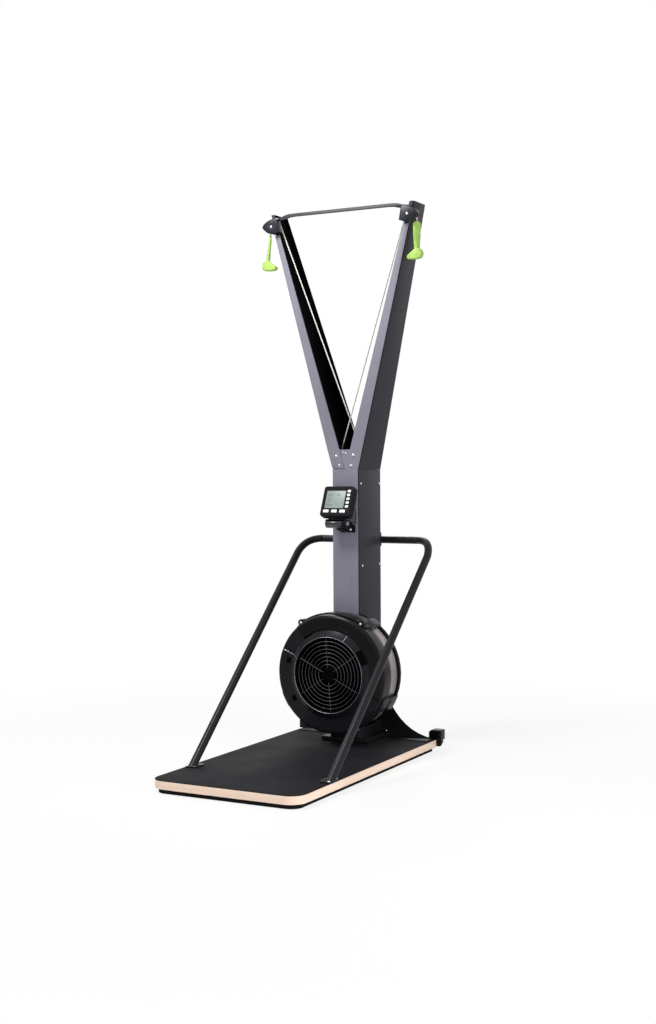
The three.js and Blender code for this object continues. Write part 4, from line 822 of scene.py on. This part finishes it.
def grille_tree():
    """Rings and spokes of round wire in the XZ plane, round the origin."""
    tree, add, source = new_tree("Grille of rings", Float=("First Radius", "Pitch", "Wire", "Reach"),
                                 Int=("Rings", "Spokes"))
    index = add("GeometryNodeInputIndex")
    radius = add("ShaderNodeMath", {0: index, 1: source["Pitch"], 2: source["First Radius"]},
                 operation='MULTIPLY_ADD')
    part = add("ShaderNodeMath", {0: math.tau, 1: source["Spokes"]}, operation='DIVIDE')
    turn = add("ShaderNodeMath", {0: index, 1: part, 2: math.pi / 2}, operation='MULTIPLY_ADD')
    angle = add("ShaderNodeCombineXYZ", {"Z": turn})
    circle = add("GeometryNodeCurvePrimitiveCircle", {"Resolution": 72, "Radius": 1.0})
    spoke = add("GeometryNodeCurvePrimitiveLine", {"Start": (0.0, 0.0, 0.0), "End": (1.0, 0.0, 0.0)})
    both = add("GeometryNodeJoinGeometry")
    for count, shape, placing in (("Rings", circle, {"Scale": radius}),
                                  ("Spokes", spoke, {"Rotation": angle, "Scale": source["Reach"]})):
        stack = add("GeometryNodeMeshLine", {"Count": source[count], "Offset": (0.0, 0.0, 0.0)})
        copies = add("GeometryNodeInstanceOnPoints", {"Points": stack, "Instance": shape, **placing})
        tree.links.new(copies.outputs[0], both.inputs[0])
    wires = add("GeometryNodeRealizeInstances", {"Geometry": both})
    half = add("ShaderNodeMath", {0: source["Wire"], 1: 0.5}, operation='MULTIPLY')
    section = add("GeometryNodeCurvePrimitiveCircle", {"Resolution": 8, "Radius": half})
    tubes = add("GeometryNodeCurveToMesh", {"Curve": wires, "Profile Curve": section, "Fill Caps": True})
    upright = add("GeometryNodeTransform", {"Geometry": tubes, "Rotation": (math.pi / 2, 0.0, 0.0)})
    close_tree(add, source, upright)
    return tree


def band_tree():
    """A sheet of square perforations, rolled round an axis along the depth."""
    tree, add, source = new_tree("Perforated band", Float=("Radius", "Depth", "Hole Share"),
                                 Int=("Holes Round", "Holes Deep"))
    radius = source["Radius"]
    length = add("ShaderNodeMath", {0: radius, 1: math.tau}, operation='MULTIPLY')
    across, deep = (add("ShaderNodeMath", {0: source[count], 1: 1.0}, operation='ADD')
                    for count in ("Holes Round", "Holes Deep"))
    sheet = add("GeometryNodeMeshGrid", {"Size X": length, "Size Y": source["Depth"], "Vertices X": across,
                                         "Vertices Y": deep})
    inset = add("GeometryNodeExtrudeMesh", {"Mesh": sheet, "Offset Scale": 0.0}, mode='FACES').outputs
    shrunk = add("GeometryNodeScaleElements", {"Geometry": inset["Mesh"], "Selection": inset["Top"],
                                               "Scale": source["Hole Share"]})
    open_sheet = add("GeometryNodeDeleteGeometry", {"Geometry": shrunk, "Selection": inset["Top"]},
                     domain='FACE')
    flat = add("ShaderNodeSeparateXYZ", {"Vector": add("GeometryNodeInputPosition")}).outputs
    angle = add("ShaderNodeMath", {0: flat["X"], 1: radius}, operation='DIVIDE')
    waves = [add("ShaderNodeMath", {0: angle}, operation=wave) for wave in ('SINE', 'COSINE')]
    x, z = (add("ShaderNodeMath", {0: wave, 1: radius}, operation='MULTIPLY') for wave in waves)
    rolled = add("ShaderNodeCombineXYZ", {"X": x, "Y": flat["Y"], "Z": z})
    band = add("GeometryNodeSetPosition", {"Geometry": open_sheet, "Position": rolled})
    close_tree(add, source, add("GeometryNodeMergeByDistance", {"Geometry": band, "Distance": 0.00002}))
    return tree


def blade_tree():
    """Blades round an axis along the depth."""
    tree, add, source = new_tree("Blades round a hub", Int=("Blades",),
                                 Float=("Inner Radius", "Outer Radius", "Depth", "Thickness"))
    outer, inner = source["Outer Radius"], source["Inner Radius"]
    height = add("ShaderNodeMath", {0: outer, 1: inner}, operation='SUBTRACT')
    size = add("ShaderNodeCombineXYZ", {"X": source["Thickness"], "Y": source["Depth"], "Z": height})
    plate = add("GeometryNodeMeshCube", {"Size": size, "Vertices X": 2, "Vertices Y": 5, "Vertices Z": 7})
    total = add("ShaderNodeMath", {0: outer, 1: inner}, operation='ADD')
    middle = add("ShaderNodeMath", {0: total, 1: 0.5}, operation='MULTIPLY')
    lift = add("ShaderNodeCombineXYZ", {"Z": middle})
    raised = add("GeometryNodeTransform", {"Geometry": plate, "Translation": lift})
    ring = add("GeometryNodeMeshLine", {"Count": source["Blades"], "Offset": (0.0, 0.0, 0.0)})
    part = add("ShaderNodeMath", {0: math.tau, 1: source["Blades"]}, operation='DIVIDE')
    shifted = add("ShaderNodeMath", {0: add("GeometryNodeInputIndex"), 1: 0.5}, operation='ADD')
    turn = add("ShaderNodeMath", {0: shifted, 1: part}, operation='MULTIPLY')
    angle = add("ShaderNodeCombineXYZ", {"Y": turn})
    blades = add("GeometryNodeInstanceOnPoints", {"Points": ring, "Instance": raised, "Rotation": angle})
    close_tree(add, source, blades)
    return tree


class AddFlywheel(bpy.types.Operator):
    """Flywheel with its blades, the axle, bearings and drive drums"""
    bl_idname = "trainer.add_flywheel"
    bl_label = "Flywheel"

    def execute(self, context):
        sizes = context.scene.trainer_sizes
        body = turned([(10.3, 800), (28, 800), (28, 882), (191, 882), (191, 852), (205, 852), (205, 887),
                       (28, 887), (28, 896), (10.3, 896)], edge=0.001)
        blades = grown(blade_tree(), {"Blades": sizes.blades, "Inner Radius": 0.056, "Outer Radius": 0.198,
                                      "Depth": 0.0845, "Thickness": 0.0025, "Material": FINISH["fan steel"]},
                       [rounding(0.0008, 40, 2)])
        add_piece("flywheel_bladed", joined([body, moved(blades, on_axle(842.2))]), "fan steel", "flywheel")
        for node in ("flywheel_axle", "front_bearing", "rear_bearing"):
            dress(node, "shaft steel", sizes.turned_edge)
        for side, _ in SIDES:
            dress(f"drive_drum_{side}", "grey nylon", sizes.turned_edge)
        return {'FINISHED'}


def cage_ear(degrees):
    """A stub on the cage's rim, which holds a screw."""
    radius, depth, reach = 0.0148, 0.0298, 0.235
    work = bmesh.new()
    bmesh.ops.create_cone(work, cap_ends=True, segments=40, radius1=radius, radius2=radius, depth=depth)
    place = (on_axle(811) @ Matrix.Rotation(math.radians(degrees), 4, 'Y')
             @ Matrix.Translation((0, 0, reach)) @ Matrix.Rotation(math.pi / 2, 4, 'X'))
    return moved(baked(to_mesh(work, "ear"), [rounding(0.003, 40, 4)]), place)


class AddCage(bpy.types.Operator):
    """Cage round the flywheel: front cover, grille, perforated band, rear cover and damper"""
    bl_idname = "trainer.add_cage"
    bl_label = "Flywheel cage"

    def execute(self, context):
        sizes = context.scene.trainer_sizes
        curl = [(219 + 11 * math.sin(math.radians(a)), 790 - 11 * math.cos(math.radians(a)))
                for a in range(0, 91, 15)]
        cover = turned([(144.6, 765), (144.9, 762.6), (146.2, 761.2), (148.5, 761.8), (171, 779), *curl,
                        (230, 846), (227, 846), (227, 791), (217.5, 782), (171, 782)], 144, 0.0007)
        raised = turned([(174, 777.2), (178, 774.6), (221, 774.6), (229, 779.5), (231.5, 787), (231.5, 795),
                         (229, 795), (217, 780), (174, 780)], 96, 0.0012, -39.5, 112)
        rim = (228.5, 238, 796, 846)
        lugs = [sector(*rim, middle - 7.5, middle + 7.5, 10, 0.002) for middle in (118, -118)]
        add_piece("cage_front_moulded", joined([cover, *lugs]), "cover black", "cage_front")
        shell = [raised, sector(*rim, -37, 38, 40, 0.0022), *(cage_ear(angle) for angle in SCREW_ANGLES)]
        add_piece("cage_front_shell", joined(shell), "satin black", "cage_front")

        ribs = [swept([round_axle(radius, depth, angle) for radius, depth in run], 0.0011, 10, 0.01)
                for angle, run in ((-66.5, ((222, 778.6), (171, 778.4), (147, 760.9))),
                                   (26.5, ((172, 778.2), (147, 760.9))))]
        lip = turned([(145.3, 760.6), (146.2, 760.0), (147.2, 760.4), (147.6, 761.4), (146.4, 762.0)], 144)
        add_piece("cage_trim", joined([*ribs, lip]), "trim steel", body="frame", slot="dark_powder_coat")
        # Thin near-black patches on the cover: painted shadow under the raised plate's inner edge and painted
        # shade patches on the annulus and cone
        shade_patches = [sector(178, 196, 778.5, 779.5, start, end, 8, 0.0003)
                   for start, end in ((-79, -72), (-126, -119))]
        shade_patches.append(sector(170.5, 178, 776.4, 779.5, -39.3, -27, 12, 0.0002))
        shade_patches.append(turned([(149.2, 761.7), (170.8, 778.0), (170.8, 779.4), (149.2, 763.2)], 24, 0.0,
                              52, 73))
        add_piece("cage_pockets", joined(shade_patches), "matte black and painted shade", body="frame", slot="black_plastic")

        hub, last = 0.027, 0.1443
        pitch = (last - hub) / (sizes.rings + 1)
        wires = grown(grille_tree(), {"First Radius": hub + pitch, "Pitch": pitch, "Rings": sizes.rings,
                                      "Wire": sizes.wire, "Spokes": 6, "Reach": 0.143,
                                      "Material": FINISH["grille wire"]})
        wires.transform(on_axle(766.4) @ Matrix.Rotation(math.radians(-4), 4, 'Y'))
        add_piece("cage_grille_wires", wires, "grille wire", "cage_grille")
        ring = turned([(138.5, 764.8), (144.3, 764.8), (144.3, 767.6), (138.5, 767.6)], 144, 0.0006)
        cap = turned([(0.01, 761.2), (16, 761.2), (24.5, 762.4), (27.5, 765.0), (27.5, 769.6),
                      (0.01, 769.6)], 64, 0.0008)
        add_piece("cage_hub_and_rim", joined([cap, ring]), "matte black and painted shade", body="frame", slot="black_plastic")

        radius, depth, sheet = 0.2224, 0.078, 0.0012
        band = grown(band_tree(), {"Radius": radius, "Depth": depth, "Hole Share": 0.5,
                                   "Holes Round": int(math.tau * (radius - 0.0009) / sizes.hole_pitch),
                                   "Holes Deep": int(depth / sizes.hole_pitch),
                                   "Material": FINISH["band steel"]},
                     [("SOLIDIFY", {"thickness": sheet, "offset": -1.0})])
        add_piece("mesh_band_perforated", moved(band, on_axle(875.2)), "band steel", "mesh_band")
        dress("cage_rear", "satin black", sizes.moulded_edge)
        dress("damper_band", "grey nylon", sizes.moulded_edge)
        ears = [round_axle(235, 796, angle) / MM + Vector((0, MIDDLE, 0)) for angle in SCREW_ANGLES]
        add_screws("cage_screws", [(ear, FRONT) for ear in ears], sizes.screw * 0.9)
        return {'FINISHED'}


def bent_tube():
    """The stand's tube: two legs, their bends and the bar behind the column."""
    foot, shoulder, corner, bar = (Vector((284, 255, 48.3)), Vector((291.5, 1046, 775.5)),
                                   Vector((284, 1103, 836.5)), Vector((213, 1131.5, 833.5)))
    points = [foot - (shoulder - foot).normalized() * 30]
    points += [foot + (shoulder - foot) * i / 8 for i in range(1, 8)]
    points += bezier((shoulder, corner, bar), 20)
    right = [spot(*p) for p in points]
    left = [Vector((-p.x, p.y, p.z)) for p in reversed(right)]
    work = bmesh.new()
    work.from_mesh(swept(right + left, 0.015, 32, 0.02))
    bmesh.ops.bisect_plane(work, geom=work.verts[:] + work.edges[:] + work.faces[:],
                           plane_co=spot(0, 0, 50.8), plane_no=UP, clear_inner=True)
    bmesh.ops.holes_fill(work, edges=[edge for edge in work.edges if edge.is_boundary])
    return to_mesh(work, "tube")


def foot_plates():
    """The two plates that hold the tube to the deck."""
    plates = []
    for _, sign in SIDES:
        work = bmesh.new()
        bmesh.ops.create_cube(work, size=1.0)
        bmesh.ops.scale(work, vec=(0.048, 0.066, 0.005), verts=work.verts)
        bmesh.ops.translate(work, vec=spot(sign * 275.0, 255, 50.8), verts=work.verts)
        upright = [edge for edge in work.edges if abs(edge.verts[0].co.z - edge.verts[1].co.z) > 0.001]
        bmesh.ops.bevel(work, geom=upright, offset=0.012, segments=6, affect='EDGES', profile=0.5)
        plates.append(baked(to_mesh(work, "plate"), [rounding(0.0012, 40, 2)]))
    return plates


class AddStand(bpy.types.Operator):
    """Base bracket, cage support, bent tube and its clamp"""
    bl_idname = "trainer.add_stand"
    bl_label = "Stand"

    def execute(self, context):
        sizes = context.scene.trainer_sizes
        dress("base_bracket", "black paint", sizes.edge)
        dress("cage_support", "black paint", 0.002)
        dress("tube_clamp", "black paint", 0.003)
        add_piece("support_tube_bent", joined([bent_tube(), *foot_plates()]), "tube paint", "support_tube")
        add_screws("tube_foot_screws", [((sign * 290.5, depth, 52.9), UP) for _, sign in SIDES
                                        for depth in (282.0, 227.5)], sizes.screw * 0.8)
        add_screws("base_screws", [((sign * 85.4, 1096.0, 67.0), UP) for _, sign in SIDES], 0.005)
        return {'FINISHED'}


class AddWheels(bpy.types.Operator):
    """Transport wheels in their hoods"""
    bl_idname = "trainer.add_wheels"
    bl_label = "Transport wheels"

    def execute(self, context):
        for side, _ in SIDES:
            dress(f"wheel_hood_{side}", "satin black", 0.0025)
            dress(f"transport_wheel_{side}", "black rubber", context.scene.trainer_sizes.moulded_edge)
        return {'FINISHED'}


def display_segments():
    """Seven-segment figures on the display, in metres from the monitor's lower middle. They all show zero."""
    bars = ((-0.5, 0.5, 0), (0.5, 0.5, 0), (0, 1, 1), (0, -1, 1), (-0.5, -0.5, 0), (0.5, -0.5, 0))
    rows = ((-44, 84, 5.0, 3), (-44, 67, 3.2, 4), (-44, 55, 3.2, 3), (-44, 43, 3.2, 5), (-4, 84, 3.2, 3))
    work = bmesh.new()
    for left, height, tall, count in rows:
        for i in range(count):
            for across, up, level in bars:
                centre = (left + tall * (0.5 + across + 1.6 * i), 0.0, height + tall * up)
                size = (tall * 0.8, 0.2, tall * 0.2) if level else (tall * 0.2, 0.2, tall * 0.8)
                bar = bmesh.ops.create_cube(work, size=1.0)["verts"]
                bmesh.ops.scale(work, vec=Vector(size) * MM, verts=bar)
                bmesh.ops.translate(work, vec=Vector(centre) * MM, verts=bar)
    return to_mesh(work, "segments")


class AddMonitor(bpy.types.Operator):
    """Monitor with its window, keys, hinge, bracket and cable"""
    bl_idname = "trainer.add_monitor"
    bl_label = "Monitor"

    def execute(self, context):
        dress("monitor_housing", "monitor black", context.scene.trainer_sizes.moulded_edge)
        dress("monitor_screen", "display", 0.0005)
        for group, count in (("side", 5), ("lower", 3)):
            for i in range(count):
                dress(f"{group}_button_{i + 1}", "keys", 0.0009)
        dress("hinge_barrel", "barrel black", 0.0015)
        dress("monitor_bracket", "black paint", 0.001)
        dress("hinge_knob", "light nylon", 0.001)
        hinge, tilt = spot(0, 824, 941), math.radians(-22.9)
        lean = Matrix.Translation(hinge) @ Matrix.Rotation(tilt, 4, 'X')
        start = lean @ Vector((0.050, 0.0303, 0.052))
        out = (lean.to_3x3() @ Vector((0, 1, 0))).normalized()
        end = spot(47, 914.7, 909)
        bend = (start + out * 0.009, start + out * 0.040, end + Vector((0.005, -0.009, 0.040)),
                end + Vector((0, -0.009, 0)))
        mesh = swept([start, *bezier(bend, 30), end], 0.002, 12, 0.01)
        add_piece("monitor_cable_bent", mesh, "cable", "monitor_cable",
                  stretch=("frame", "monitor", end, start))
        add_piece("monitor_segments", moved(display_segments(), lean), "segment", body="monitor",
                  slot="display_window")
        add_screws("hinge_screws", [((38.5, 885.3, 883.8), FRONT)], 0.0045)
        return {'FINISHED'}


class TrainerPanel(bpy.types.Panel):
    """Lists the machine's operators"""
    bl_idname = "VIEW3D_PT_ski_trainer"
    bl_label = "Ski Trainer"
    bl_space_type = 'VIEW_3D'
    bl_region_type = 'UI'
    bl_category = "Ski Trainer"

    def draw(self, context):
        for group in (context.scene.trainer_sizes, context.scene.trainer_colours):
            for name in group.__annotations__:
                self.layout.prop(group, name)
        for operator in OPERATORS:
            self.layout.operator(operator.bl_idname)


OPERATORS = (AddStage, AddDeck, AddColumn, AddHeads, AddCords, AddHandles, AddFlywheel, AddCage, AddStand,
             AddWheels, AddMonitor)
CLASSES = (TrainerSizes, TrainerColours, *OPERATORS, TrainerPanel)


def register():
    for cls in CLASSES:
        bpy.utils.register_class(cls)
    bpy.types.Scene.trainer_sizes = PointerProperty(type=TrainerSizes)
    bpy.types.Scene.trainer_colours = PointerProperty(type=TrainerColours)


def unregister():
    del bpy.types.Scene.trainer_colours
    del bpy.types.Scene.trainer_sizes
    for cls in reversed(CLASSES):
        bpy.utils.unregister_class(cls)


def main():
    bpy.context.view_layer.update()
    register()
    FINISH.update(make_materials(bpy.context.scene.trainer_colours))
    for operator in OPERATORS:
        getattr(bpy.ops.trainer, operator.bl_idname.split(".")[1])()


if __name__ == "__main__":
    main()
